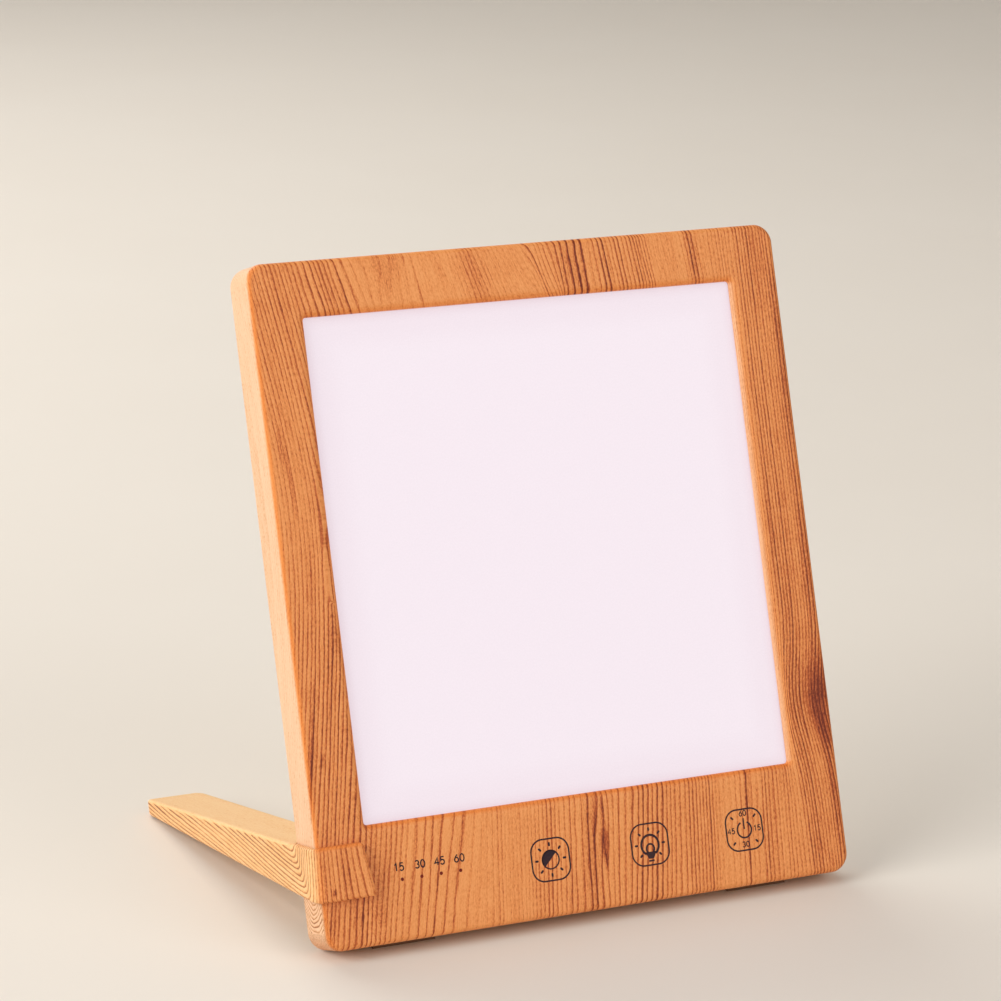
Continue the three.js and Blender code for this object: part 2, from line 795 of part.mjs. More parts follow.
// Stand shell: the clip with its slot, and the hollow leg with two screw bosses in its roof
function standShell() {
  const form = standForm();
  const slotLow = legLowAt(lipFront) - cutOverrun;
  const slotHigh = legTopAt(slotBack) + cutOverrun;
  const slotLeft = -halfWidth - fitGap;
  const slot = box([slotLeft, slotLow, -slotBack], [standRight + cutOverrun, slotHigh, fitGap]);
  const hollow = legHollow();
  const bosses = standScrewDepths.map((depth) =>
    solidOf(legBar(depth, legCoverThickness + fitGap, legTopAt(depth) - legLowAt(depth), standBossRadius)),
  );
  const pilots = standScrewDepths.map((depth) =>
    solidOf(legBar(depth, 0, legCoverThickness + shankLength + fitGap, shankHole)),
  );
  const roofed = form.subtract(hollow).add(joined(bosses).intersect(form));
  const heelSeat = legBand(
    heelStart - fitGap,
    heelEnd + fitGap,
    -cutOverrun,
    heelSink,
    standLeft + heelMargin - fitGap,
    standRight - heelMargin + fitGap,
  );
  return cut(roofed, [solidOf(slot), solidOf(gripBox(fitGap, -panelDepth)), ...pilots, heelSeat]);
}

// Grip pad, let into the leg's root behind the frame, or its recess where it is grown by a gap
function gripBox(grow, front) {
  return box(
    [
      -halfWidth + gripMargin - grow,
      legLowAt(slotBack) + gripMargin - grow,
      -panelDepth - fitGap - gripThickness - grow,
    ],
    [standTopRight - gripMargin + grow, legTopAt(slotBack) - gripMargin + grow, front],
  );
}

// Flat cover that closes the hollow of the leg from below
function standCover() {
  const [from, to] = [hollowFrom + fitGap, hollowTo - fitGap];
  const plate = legBand(from, to, 0, legCoverThickness, hollowLeft + fitGap, hollowRight - fitGap);
  const holes = standScrewDepths.flatMap((depth) => [
    solidOf(legBar(depth, -cutOverrun, legCoverThickness + cutOverrun, shankHole)),
    solidOf(legBar(depth, -cutOverrun, headHeight + fitGap, headRadius + fitGap)),
  ]);
  return cut(plate, holes);
}

// Screw through the stand's cover, square to the underside of the leg
function standScrew(name, depth) {
  const mesh = piece(name, "steel", screwGeometry(shankLength));
  mesh.rotation.x = -Math.PI / 2 + THREE.MathUtils.degToRad(lowSlope);
  const lift = new THREE.Vector3(0, headHeight, 0).applyEuler(
    new THREE.Euler(THREE.MathUtils.degToRad(lowSlope), 0, 0),
  );
  mesh.position.set(standMiddle, legLowAt(depth), -depth).add(lift);
  return mesh;
}

// Rubber heel at the tip of the leg, with its underside on the surface the lamp stands on
function heel() {
  return sideWedge(
    [
      [heelStart, floorAt(heelStart)],
      [heelEnd, floorAt(heelEnd)],
      [heelEnd, legLowAt(heelEnd) + heelSink - fitGap],
      [heelStart, legLowAt(heelStart) + heelSink - fitGap],
    ],
    standLeft + heelMargin,
    standRight - heelMargin,
  );
}

// Everything in the panel
function panelPieces() {
  const rail = { left: -1, right: 1 };
  const pieces = [
    piece("front_frame", "wood", frontFrame()),
    piece("back_cover", "wood", backCover()),
    piece("diffuser_plate", "diffuser", lightPlate(diffuserFront, diffuserThickness)),
    piece("light_guide", "acrylic", lightPlate(guideFront, guideThickness)),
    piece("reflector_sheet", "white", lightPlate(reflectorFront, reflectorThickness)),
    piece("backlight_tray", "aluminium", tray()),
    piece("control_board", "board", controlBoard()),
    piece("power_inlet", "black", powerInlet()),
    piece("power_inlet_pin", "brass", powerPin()),
    piece("power_socket", "white", boardPart(socketX(1), powerSocketY, socketSize)),
    piece("inlet_wire_red", "red", inletWire(1)),
    piece("inlet_wire_black", "black", inletWire(-1)),
    piece("timer_controller", "black", boardPart(middleKeyX - keyPitch / 2, keyY, controllerSize)),
    piece("driver_coil", "black", boardPart(middleKeyX + keyPitch / 2, keyY, coilSize)),
    piece("driver_chip", "black", boardPart(middleKeyX, keyY, driverSize)),
  ];
  for (const [name, side] of Object.entries(rail)) {
    pieces.push(
      piece(`led_strip_${name}`, "white", ledStrip(side)),
      piece(`heat_rail_${name}`, "aluminium", heatRail(side)),
      piece(`led_socket_${name}`, "white", boardPart(socketX(side), ledSocketY, socketSize)),
      piece(`led_wire_${name}_red`, "red", stripWire(side, 1)),
      piece(`led_wire_${name}_black`, "black", stripWire(side, -1)),
      piece(`foot_${name}`, "rubber", foot(side * (halfWidth - footInset))),
    );
  }
  ["brightness", "light", "timer"].forEach((name, index) => {
    pieces.push(piece(`touch_spring_${name}`, "brass", touchSpring(keyXs[index])));
  });
  ["15", "30", "45", "60"].forEach((minutes, index) => {
    const pipe = bar(
      lightXs[index],
      lightY,
      boardFront + lightChipHeight + fitGap,
      -fitGap / 2,
      lightRadius,
      screwSides,
    );
    pieces.push(piece(`timer_light_${minutes}`, "acrylic", pipe));
  });
  ["input", "output"].forEach((name, index) => {
    const x = middleKeyX - keyPitch * (index + 1);
    const front = boardBack - fitGap;
    pieces.push(piece(`capacitor_${name}`, "aluminium", bar(x, keyY, front - canHeight, front, canRadius)));
  });
  return [...pieces, ...panelScrews()];
}

function panelScrews() {
  const coverSeat = coverBack + headHeight - fitGap;
  const traySeat = trayBack - fitGap;
  const places = [];
  for (const x of [-postX, postX]) {
    for (const y of coverPostYs) places.push(["cover_screw", x, y, coverSeat]);
    for (const y of trayPostYs) places.push(["tray_screw", x, y, traySeat, shortShankLength]);
  }
  for (const [x, y] of boardScrewPlaces()) {
    places.push(["board_screw", x, y, boardBack - fitGap, shortShankLength]);
  }
  const counts = {};
  return places.map(([kind, ...place]) => {
    counts[kind] = (counts[kind] ?? 0) + 1;
    return screw(`${kind}_${counts[kind]}`, ...place);
  });
}

// Everything in the stand
function standPieces() {
  return [
    piece("stand_shell", "wood", standShell()),
    piece("stand_cover", "wood", standCover()),
    piece("stand_heel", "rubber", heel()),
    piece("grip_pad", "rubber", gripBox(0, -panelDepth - fitGap)),
    ...standScrewDepths.map((depth, index) => standScrew(`stand_screw_${index + 1}`, depth)),
  ];
}

// Stands the lamp up, leaned back, with the middle of its footprint at the origin
const leaning = new THREE.Group();
leaning.add(...panelPieces(), ...standPieces());
leaning.rotation.x = Math.PI / 2 - leanBack;
const lamp = new THREE.Group();
lamp.add(leaning);
lamp.updateMatrixWorld(true);
const bounds = new THREE.Box3().setFromObject(lamp, true);
const middle = bounds.getCenter(new THREE.Vector3());
leaning.position.set(-middle.x, -middle.y, -bounds.min.z);

export default lamp;
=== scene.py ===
import math

import bmesh
import bpy
import numpy as np
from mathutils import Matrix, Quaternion, Vector


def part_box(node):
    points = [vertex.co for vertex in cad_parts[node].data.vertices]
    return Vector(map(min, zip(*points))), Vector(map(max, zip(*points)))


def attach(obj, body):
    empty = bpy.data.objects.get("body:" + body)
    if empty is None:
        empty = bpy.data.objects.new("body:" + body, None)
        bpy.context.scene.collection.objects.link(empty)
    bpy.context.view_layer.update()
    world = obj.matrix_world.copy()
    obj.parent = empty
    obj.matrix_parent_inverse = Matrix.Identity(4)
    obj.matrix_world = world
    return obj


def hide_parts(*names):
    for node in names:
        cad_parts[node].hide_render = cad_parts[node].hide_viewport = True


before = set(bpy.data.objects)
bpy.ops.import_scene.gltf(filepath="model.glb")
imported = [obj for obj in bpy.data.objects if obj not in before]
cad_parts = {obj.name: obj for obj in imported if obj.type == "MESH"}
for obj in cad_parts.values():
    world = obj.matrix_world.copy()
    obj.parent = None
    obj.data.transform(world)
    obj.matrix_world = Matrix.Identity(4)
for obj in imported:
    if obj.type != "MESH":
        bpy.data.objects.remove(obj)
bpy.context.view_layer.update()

mm = 0.001
print("loaded", len(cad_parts), "solids")

# Sizes of the lit panel, in millimetres
panel = {
    "width": 210,
    "height": 240,
    "depth": 16,
    "corner": 7,
    "frontRound": 1.95,
    "backRound": 1.0,
    "wall": 2.0,
    "front": 2.2,
    "border": 20,
    "chin": 42,
    "windowFlare": 3.0,
    "windowRound": 1.7,
    "windowCorner": 1.2,
    "plateLow": 39,
    "plateHigh": 223,
    "plateFront": -2.5,
    "plateThick": 2,
}
halfX, halfY = panel["width"] / 2, panel["height"] / 2
windowY = (panel["chin"] + panel["height"] - panel["border"]) / 2
windowHalf = (halfX - panel["border"], panel["height"] - panel["border"] - windowY)


# Panel places run across from the middle, up from the lower edge and out of the face. The lean is the turn
# by which a plate so tall and thick fills its box.
def findPanel():
    low, high = (np.array(corner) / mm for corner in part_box("diffuser_plate"))
    tall, thick = panel["plateHigh"] - panel["plateLow"], panel["plateThick"]
    depth, rise = (high - low)[1:]
    lean = math.atan2(depth * tall - rise * thick, rise * tall - depth * thick)
    sine, cosine = math.sin(lean), math.cos(lean)
    axes = np.array(((1, 0, 0), (0, sine, cosine), (0, -cosine, sine)))
    plateMiddle = (0, panel["plateLow"] + tall / 2, panel["plateFront"] - thick / 2)
    return (low + high) / 2 - np.array(plateMiddle) @ axes, axes, lean


panelOrigin, panelAxes, lean = findPanel()


# Panel millimetres to scene metres: the origin plus each number times its axis.
def standUp(points):
    return (panelOrigin + np.asarray(points, float) @ panelAxes) * mm


# The way back: the place less the origin, along each axis.
def lieDown(points):
    return (np.asarray(points, float) / mm - panelOrigin) @ panelAxes.T


# From 0 at low to 1 at high by 3 t squared less 2 t cubed, level beyond.
def ease(value, low, high):
    share = np.clip((value - low) / (high - low), 0, 1)
    return share * share * (3 - 2 * share)


# A bell: e to the minus square of the distance over the reach.
def bump(value, middle, reach):
    return np.exp(-(((value - middle) / reach) ** 2))


def newObject(name, data):
    made = bpy.data.objects.new(name, data)
    bpy.context.scene.collection.objects.link(made)
    return made


# A camera or lamp at a place, turned to its aim and rolled by degrees.
def placeAimed(data, place, aim, roll=0.0):
    made = newObject(data.name, data)
    made.location = place
    made.rotation_mode = "QUATERNION"
    turn = (Vector(aim) - Vector(place)).to_track_quat("-Z", "Y")
    made.rotation_quaternion = turn @ Quaternion((0, 0, 1), math.radians(roll))
    return made


# Place and aim are measured on the panel
view = {
    "place": (-620.3, 115.6, 1269.8),
    "aim": (-18.3, 149.1, 0),
    "roll": 1.514,
    "lens": 142.3,
    "clip": (0.05, 40),
}
cameraData = bpy.data.cameras.new("camera")
cameraData.lens = view["lens"]
cameraData.clip_start, cameraData.clip_end = view["clip"]
camera = placeAimed(cameraData, standUp(view["place"]), standUp(view["aim"]), view["roll"])
bpy.context.scene.camera = camera
bpy.context.scene.view_settings.view_transform = "Standard"

studio = {
    "world": 0.36,
    "worldColour": (1.0, 0.985, 0.97),
    "lamps": {  # place, aim, width, watts, colour
        "keyLamp": ((-2.6, -0.5, 1.6), (0, 0, 0.1), 1.95, 71, (1.0, 0.975, 0.95)),
        "fillLamp": ((0.9, -1.9, 1.2), (0, 0, 0.12), 1.6, 14, (1.0, 0.98, 0.98)),
        "backLamp": ((-0.3, 1.5, 1.4), (0, 0, 0.1), 1.4, 18, (1.0, 0.98, 0.95)),
    },
}
for lampName, (lampPlace, lampAim, width, watts, shade) in studio["lamps"].items():
    light = bpy.data.lights.new(lampName, "AREA")
    light.size, light.energy, light.color = width, watts, shade
    placeAimed(light, lampPlace, lampAim)
world = bpy.data.worlds.new("studio")
bpy.context.scene.world = world
world.use_nodes = True
background = world.node_tree.nodes["Background"].inputs
background["Color"].default_value = (*studio["worldColour"], 1)
background["Strength"].default_value = studio["world"]
print("studio lit")


# Screen values 0 to 255 to linear light: (c + 0.055) / 1.055 to the power 2.4, or c / 12.92 when dark.
def colour(shade):
    values = np.array(shade) / 255
    linear = np.where(values > 0.04045, ((values + 0.055) / 1.055) ** 2.4, values / 12.92)
    return (*(float(value) for value in linear), 1.0)


# A material's nodes, added one call at a time.
class nodeSheet:
    def __init__(self, name):
        self.material = bpy.data.materials.new(name)
        self.material.use_nodes = True
        self.tree = self.material.node_tree
        self.shader = self.tree.nodes["Principled BSDF"]

    def feed(self, node, key, value):
        if isinstance(value, bpy.types.NodeSocket):
            self.tree.links.new(value, node.inputs[key])
        elif value is not None:
            node.inputs[key].default_value = value

    def node(self, kind, inputs=(), **settings):
        made = self.tree.nodes.new("ShaderNode" + kind)
        for key, value in settings.items():
            setattr(made, key, value)
        for key, value in dict(inputs).items():
            self.feed(made, key, value)
        return made

    def math(self, operation, *values):
        return self.node("Math", enumerate(values), operation=operation).outputs[0]

    def noise(self, vector, scale, detail=2.0, rough=0.5):
        inputs = {"Vector": vector, "Scale": scale, "Detail": detail, "Roughness": rough}
        return self.node("TexNoise", inputs).outputs["Fac"]

    def span(self, value, low, high, toLow=0.0, toHigh=1.0):
        inputs = {"Value": value, "From Min": low, "From Max": high, "To Min": toLow, "To Max": toHigh}
        return self.node("MapRange", inputs).outputs["Result"]

    # a noise's usual range, 0.3 to 0.7, as a roughness
    def gloss(self, noise, low, high):
        return self.span(noise, 0.3, 0.7, low, high)

    # a noise less its middle, times an amount, added to a value
    def sway(self, noise, amount, value=0.0):
        return self.math("MULTIPLY_ADD", self.math("SUBTRACT", noise, 0.5), amount, value)

    def ramp(self, value, stops, curve="LINEAR"):
        stops = list(stops)
        made = self.node("ValToRGB", {"Fac": value})
        made.color_ramp.interpolation = curve
        elements = made.color_ramp.elements
        while len(elements) < len(stops):
            elements.new(0.5)
        for element, (place, shade) in zip(elements, stops):
            element.position = place
            element.color = shade if isinstance(shade, tuple) else (shade, shade, shade, 1)
        return made.outputs["Color"]

    def mix(self, share, first, second):
        made = self.node("Mix", data_type="RGBA")
        for key, value in ((0, share), (6, first), (7, second)):
            self.feed(made, key, value)
        return made.outputs[2]

    def vector(self, x, y, z):
        return self.node("CombineXYZ", {"X": x, "Y": y, "Z": z}).outputs[0]

    def split(self, vector):
        return self.node("SeparateXYZ", {"Vector": vector}).outputs[:3]

    def objectPlace(self, scale=(1, 1, 1), turn=(0, 0, 0), move=(0, 0, 0)):
        place = self.node("TexCoord").outputs["Object"]
        inputs = {"Vector": place, "Scale": scale, "Rotation": turn, "Location": move}
        return self.node("Mapping", inputs).outputs[0]

    # the object's coordinates as panel places
    def panelPlace(self):
        move = tuple(-panelAxes @ panelOrigin)
        return self.objectPlace((1 / mm,) * 3, (lean - math.pi / 2, 0, 0), move)

    def attribute(self, name):
        return self.split(self.node("Attribute", attribute_name=name).outputs["Vector"])

    def finish(self, height=None, depth=0.0, **sockets):
        for key, value in sockets.items():
            self.feed(self.shader, key.replace("_", " "), value)
        if height is not None:
            inputs = {"Height": height, "Distance": depth * mm, "Strength": 1.0}
            self.feed(self.shader, "Normal", self.node("Bump", inputs).outputs[0])
        return self.material


# Merges doubled points, turns faces outwards and marks edges that bend more than sharp degrees.
def cleanMesh(mesh, sharp):
    work = bmesh.new()
    work.from_mesh(mesh)
    bmesh.ops.remove_doubles(work, verts=work.verts, dist=0.002 * mm)
    bmesh.ops.dissolve_degenerate(work, edges=work.edges, dist=0.001 * mm)
    bmesh.ops.recalc_face_normals(work, faces=work.faces)
    work.to_mesh(mesh)
    work.free()
    mesh.shade_smooth()
    mesh.set_sharp_from_angle(angle=math.radians(sharp))


# A piece from panel places and the faces between them.
def makePiece(name, points, faces, sharp=32):
    mesh = bpy.data.meshes.new(name)
    mesh.from_pydata(standUp(points).tolist(), [], [tuple(face) for face in faces])
    cleanMesh(mesh, sharp)
    return newObject(name, mesh)


# Quads of a grid held row by row; closed joins its last column to the first.
def gridFaces(rows, columns, closed=True, start=0):
    row = np.arange(rows - 1)[:, None] * columns
    column = np.arange(columns if closed else columns - 1)
    after = (column + 1) % columns
    corners = (row + column, row + after, row + columns + after, row + columns + column)
    return (start + np.stack(corners, -1)).reshape(-1, 4).tolist()


# A closed body through rings: a hoop if joined, or else closed on the end rings' middles.
def loft(name, rings, sharp=32, joined=False):
    rings = np.asarray(rings, float)
    rows, columns = rings.shape[:2]
    if joined:
        rings = np.concatenate((rings, rings[:1]))
        return makePiece(name, rings.reshape(-1, 3), gridFaces(rows + 1, columns), sharp)
    here, last = np.arange(columns), (rows - 1) * columns
    after = (here + 1) % columns
    firstMiddle = np.full(columns, rows * columns)
    faces = gridFaces(rows, columns) + np.stack((after, here, firstMiddle), -1).tolist()
    faces += np.stack((last + here, last + after, firstMiddle + 1), -1).tolist()
    points = np.vstack((rings.reshape(-1, 3), rings[0].mean(0), rings[-1].mean(0)))
    return makePiece(name, points, faces, sharp)


# Cuts the cutters out of the piece, or keeps what they share.
def carve(piece, cutters, operation="DIFFERENCE", sharp=32):
    for cutter in cutters:
        change = piece.modifiers.new("carve", "BOOLEAN")
        change.operation, change.object, change.solver = operation, cutter, "EXACT"
    bpy.context.view_layer.update()
    shaped = piece.evaluated_get(bpy.context.evaluated_depsgraph_get())
    mesh = bpy.data.meshes.new_from_object(shaped)
    piece.modifiers.clear()
    piece.data = mesh
    for cutter in cutters:
        bpy.data.objects.remove(cutter)
    cleanMesh(mesh, sharp)
    return piece


# A unit circle's points, anticlockwise.
def circle(sides):
    angle = np.linspace(0, 2 * math.pi, sides, endpoint=False)
    return np.stack((np.cos(angle), np.sin(angle)), -1)


# A rectangle with quarter-circle corners. Counts: points along x, along y, on a corner.
def roundBox(left, right, low, high, radius, counts):
    turn = np.linspace(0, math.pi / 2, counts[2] + 1)
    farX, nearX, farY, nearY = right - radius, left + radius, high - radius, low + radius
    middles = np.array(((farX, farY), (nearX, farY), (nearX, nearY), (farX, nearY)))
    points = []
    for quarter, middle in enumerate(middles):
        angle = turn + quarter * math.pi / 2
        arms = radius * np.stack((np.cos(angle), np.sin(angle)), -1)
        start, stop = arms[-1] + middle, arms[-1] + middles[quarter - 3]
        share = np.linspace(0, 1, counts[quarter % 2], endpoint=False)[:, None]
        points += [middle + arms[:-1], start + (stop - start) * share]
    return np.concatenate(points)


# A flat outline at one distance out of the face.
def atHeight(outline, height):
    return np.column_stack((outline, np.full(len(outline), float(height))))


# A round bar square to the face: one circle at each end.
def bar(name, x, y, low, high, radius, sides):
    return loft(name, [atHeight((x, y) + radius * circle(sides), height) for height in (low, high)])


# A finished piece's material, body, slot and the solids it stands for. The slot is not used.
def dress(piece, material, body, slot, *nodes):
    piece.data.materials.clear()
    piece.data.materials.append(material)
    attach(piece, body)
    if nodes:
        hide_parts(*nodes)


# Growth lines, in millimetres from the panel's lower left corner
grain = {
    # left stile's bow: height of its crest, softness, slope far off
    "bow": (152, 40, 0.19),
    "topLine": 230,
    "lowLine": 20,
    # top rail: place, shift to the right going down, lines to the next row, strength
    "top": (
        (-16.2, 0.17, 12, 0.8), (3, 0.17, 2, 0.9), (5.9, 0.17, 3, 1), (11.1, 0.19, 4, 1),
        (17.2, 0.2, 2, 1.1), (21.4, 0.21, 1, 1.2), (23.9, 0.22, 1, 1.6), (26.4, 0.23, 3, 1.25),
        (31.5, 0.23, 1, 1.4), (33.1, 0.23, 1, 0.9), (35.6, 0.24, 1, 1.6), (38.8, 0.27, 1, 0.9),
        (42, 0.3, 2, 0.5), (49, 0.1, 2, 0.4), (57, 0.1, 1, 0.25), (61, 0.15, 1, 0.25), (64.5, 0.18, 1, 1.3),
        (66.2, 0.2, 6, 0.15), (76, 0.22, 3, 0.2), (81, 0.25, 3, 0.4), (86.6, 0.28, 4, 0.7),
        (93.4, 0.3, 3, 0.55), (98.5, 0.33, 3, 0.3), (104.9, 0.38, 3, 0.3), (110.1, 0.42, 1, 0.45),
        (111.8, 0.42, 1, 1.4), (113.5, 0.4, 1, 1.3), (115.6, 0.36, 1, 0.9), (117.5, 0.3, 2, 1),
        (121.4, 0.12, 1, 1.1), (123.1, 0.06, 1, 1.7), (126, 0.05, 1, 1.6), (128.9, 0.06, 1, 1.8),
        (131.1, 0.07, 1, 1.6), (134.2, 0.09, 3, 0.35), (140.4, 0.12, 1, 1.9), (142.2, 0.12, 3, 0.5),
        (146.8, 0.12, 1, 1.9), (148.6, 0.12, 3, 0.8), (153.2, 0.14, 1, 1.4), (154.4, 0.14, 2, 0.8),
        (156.9, 0.15, 1, 1.6), (158.1, 0.15, 2, 0.7), (160.9, 0.14, 5, 0.25), (170.5, 0.12, 2, 0.3),
        (173.8, 0.1, 1, 0.9), (175.2, 0.1, 1, 2), (176.6, 0.1, 1, 1.6), (178.5, 0.08, 6, 0.3),
        (187.8, 0.03, 3, 0.8), (191.5, 0.03, 4, 0.8), (196.6, 0.03, 2, 1.1), (199.6, 0.03, 3, 1.5),
        (203.6, 0.03, 1, 1.5), (205.5, 0.03, 14, 1.7), (230, 0.03, 1, 1),
    ),
    # the chin likewise
    "low": (
        (4, -0.17, 4, 0.9), (12, -0.19, 4, 1.1), (19.6, -0.2, 2, 1.2), (23.2, -0.2, 2, 0.9),
        (27.1, -0.2, 1, 1), (28.8, -0.21, 2, 0.9), (33.6, -0.2, 1, 1.1), (37.2, -0.21, 1, 0.9),
        (39.9, -0.22, 1, 1.4), (43.3, -0.22, 1, 1.1), (46.4, -0.23, 1, 1.3), (50.6, -0.24, 1, 1.3),
        (55, -0.22, 1, 1.2), (59, -0.2, 1, 0.5), (62.5, -0.16, 2, 0.25), (67, -0.12, 1, 0.4),
        (69.3, -0.1, 1, 1.1), (70.6, -0.1, 2, 0.5), (73.5, -0.1, 4, 0.3), (79.5, -0.1, 2, 0.5),
        (82, -0.1, 2, 0.5), (85, -0.1, 2, 0.8), (88.2, -0.1, 3, 1.2), (93.1, -0.1, 1, 1.1),
        (95, -0.1, 2, 0.9), (99.3, -0.1, 1, 1.1), (102, -0.09, 1, 1.2), (104.7, -0.08, 1, 1.2),
        (106.9, -0.07, 2, 2), (111.5, -0.06, 1, 1.2), (114.2, -0.09, 2, 1.1), (118.9, -0.13, 1, 1.2),
        (121.3, -0.14, 2, 1.1), (125.8, -0.145, 1, 1.5), (127.7, -0.145, 4, 1.3), (135.5, -0.13, 2, 1.4),
        (138.9, -0.11, 2, 0.8), (143.5, -0.11, 3, 1), (148.4, -0.09, 2, 1.2), (151, -0.085, 3, 1),
        (155.2, -0.08, 2, 1.4), (157.7, -0.07, 2, 0.3), (161.5, -0.06, 2, 0.25), (166.6, -0.06, 2, 1),
        (170.4, -0.08, 1, 2), (172.3, -0.08, 1, 0.3), (174.5, -0.08, 1, 0.7), (177, -0.07, 1, 1.4),
        (178.2, -0.06, 2, 1.2), (181.8, -0.05, 2, 0.8), (184.7, -0.05, 3, 0.6), (189, -0.04, 2, 0.8),
        (192.1, -0.02, 26, 1), (228, -0.02, 1, 1),
    ),
    # right stile: place, lines to the next row, strength
    "right": (
        (170.5, 14, 0.8), (190, 1, 0.7), (191.4, 1, 0.8), (193.4, 4, 1.2), (198.8, 1, 1.2), (200.2, 3, 0.8),
        (204.2, 2, 0.8), (206.6, 1, 1.7), (208.1, 16, 1.4), (232, 1, 1),
    ),
    # where stiles meet rails, from the window's sides
    "blendLeft": (-4, 3),
    "blendRight": (-4, 4),
    # left stile: fainter about a height, stronger below, more so near the window
    "faint": (0.4, 162, 30, 17, 13),
    "strong": (0.25, 130, 105),
    "strongEdge": (0.6, 16.5, 2.5, 125, 95),
    # knot at the right edge: height, bow of the lines, its reach
    "knot": (64, 4.2, 20),
    # lines that run to a point: place, width, height, lines that fold
    "points": ((111.4, 12, 2.8, 24, 0.9), (53, 222, 5.5, 16, 0.8)),
    # usual spacing, and the least that counts
    "even": (1.6, 0.8),
    # darker streaks: place, height, reach across, reach along, amount
    "streaks": (
        (9, 222, 14, 26, 0.05), (31, 232, 3.6, 15, 0.12), (49.5, 238, 3, 7, 0.2), (56, 238, 3, 7, 0.2),
        (53, 229, 2.2, 6, 0.16), (86, 231, 4.5, 15, 0.17), (126, 230, 4.8, 16, 0.2),
        (129, 229, 1, 14, 0.12), (123, 231, 1, 14, 0.14), (141, 230, 1.2, 14, 0.16),
        (166, 231, 3, 10, 0.12), (175.8, 230, 2, 13, 0.2), (203, 228, 6, 24, 0.12),
        (207.6, 190, 1.6, 34, 0.26), (200, 120, 9, 80, 0.1), (194, 130, 1.2, 20, 0.16),
        (207.5, 115, 2.2, 26, 0.2), (207.5, 66, 3.4, 16, 0.52), (203.5, 62, 2.6, 14, 0.34),
        (207, 51, 1.8, 6, 0.25), (200, 68, 6, 16, 0.16), (207.3, 30, 1.5, 22, 0.3), (201, 26, 10, 50, 0.12),
        (7.7, 166, 0.75, 15, 0.42), (5.4, 176, 0.6, 8, 0.3), (15.5, 105, 1.6, 24, 0.18),
        (11, 128, 0.8, 16, 0.2), (2.2, 62, 1.1, 22, 0.3), (6.8, 66, 0.8, 2.6, 0.4), (1.6, 60, 0.5, 30, 0.3),
        (3.2, 8, 1.8, 12, 0.2), (22.5, 20, 3.6, 22, 0.2), (87.5, 22, 1.6, 20, 0.1),
        (104.6, 22, 2.4, 24, 0.2), (107.2, 22, 0.7, 20, 0.2), (111.8, 37, 0.5, 5.5, 0.6),
        (111.4, 25, 1.1, 5, 0.75), (111.3, 19, 0.6, 5, 0.7), (133, 20, 7, 24, 0.06), (154, 20, 3, 22, 0.08),
        (171.2, 32, 0.4, 14, 0.3), (177, 20, 5, 22, 0.1), (187, 36, 4, 9, 0.1), (99, 8, 4, 9, 0.1),
    ),
}


# Growth lines counted across a strip; values run evenly from row to row.
class lineTable:
    def __init__(self, rows):
        rows = np.array(rows, float)
        places, counts = rows[:, 0], np.concatenate(((0,), np.cumsum(rows[:-1, -2])))
        spacings = np.gradient(places) / np.maximum(np.gradient(counts), 0.01)
        columns = (counts, rows[:, 1], rows[:, -1], spacings)
        reads = [lambda x, column=column: np.interp(x, places, column) for column in columns]
        self.count, self.slope, self.strength, self.spacing = reads

    # where a line through a place, rise above the strip, crosses it, by steps that settle
    def along(self, x, rise):
        start = x
        for step in range(5):
            start = x + self.slope(start) * rise
        return start


topLines, lowLines, rightLines = (lineTable(grain[key]) for key in ("top", "low", "right"))


# A bowed line's shift: slope times (the root of distance squared plus softness squared, less softness).
def bowRise(y):
    crest, soft, slope = grain["bow"]
    return slope * (np.hypot(y - crest, soft) - soft)


# Line count, place across, strength and spacing: the left stile's lines run on through the rails.
def frontGrain(x, y):
    knotY, knotBow, knotReach = grain["knot"]
    joinX, farX = panel["border"], panel["width"] - panel["border"]
    shift = bowRise(grain["topLine"])
    topPlace = topLines.along(x, y - grain["topLine"])
    leftPlace = x + bowRise(y) - shift
    lowPlace = lowLines.along(x, y - grain["lowLine"])
    rightPlace = x + knotBow * bump(y, knotY, knotReach)
    joinCount = topLines.count(joinX + bowRise(grain["lowLine"]) - shift)
    farCount = topLines.count(farX)
    stretch = (farCount - joinCount) / (lowLines.count(farX) - lowLines.count(joinX))
    lowCount = joinCount + stretch * (lowLines.count(lowPlace) - lowLines.count(joinX))
    rightCount = farCount + rightLines.count(rightPlace) - rightLines.count(farX)
    fromLeft = ease(x - joinX, *grain["blendLeft"])
    fromRight = ease(x - farX, *grain["blendRight"])

    def meet(top, left, low, right):
        rail = np.where(y > halfY, top, low)
        return (left * (1 - fromLeft) + rail * fromLeft) * (1 - fromRight) + right * fromRight

    lines = meet(topLines.count(topPlace), topLines.count(leftPlace), lowCount, rightCount)
    across = meet(topPlace, leftPlace, lowPlace, rightPlace)
    amount, middle, reach, *places = grain["faint"]
    faint = 1 - amount * bump(y, middle, reach) * ease(x, *places)
    amount, *heights = grain["strong"]
    leftStrength = 1.0 + amount * ease(y, *heights)
    amount, middle, reach, *heights = grain["strongEdge"]
    leftStrength = faint * (leftStrength + amount * bump(x, middle, reach) * ease(y, *heights))
    lowStrength, rightStrength = lowLines.strength(lowPlace), rightLines.strength(x)
    strength = meet(topLines.strength(topPlace), leftStrength, lowStrength, rightStrength)
    for pointX, pointY, width, height, folds in grain["points"]:
        lines = lines - folds * bump(x, pointX, width) * ease((y - pointY) / height, 0, 1)
    leftSpacing, lowSpacing = topLines.spacing(leftPlace), lowLines.spacing(lowPlace)
    spacing = meet(topLines.spacing(topPlace), leftSpacing, lowSpacing, rightLines.spacing(x))
    return lines + wood["darkest"], across, strength, spacing


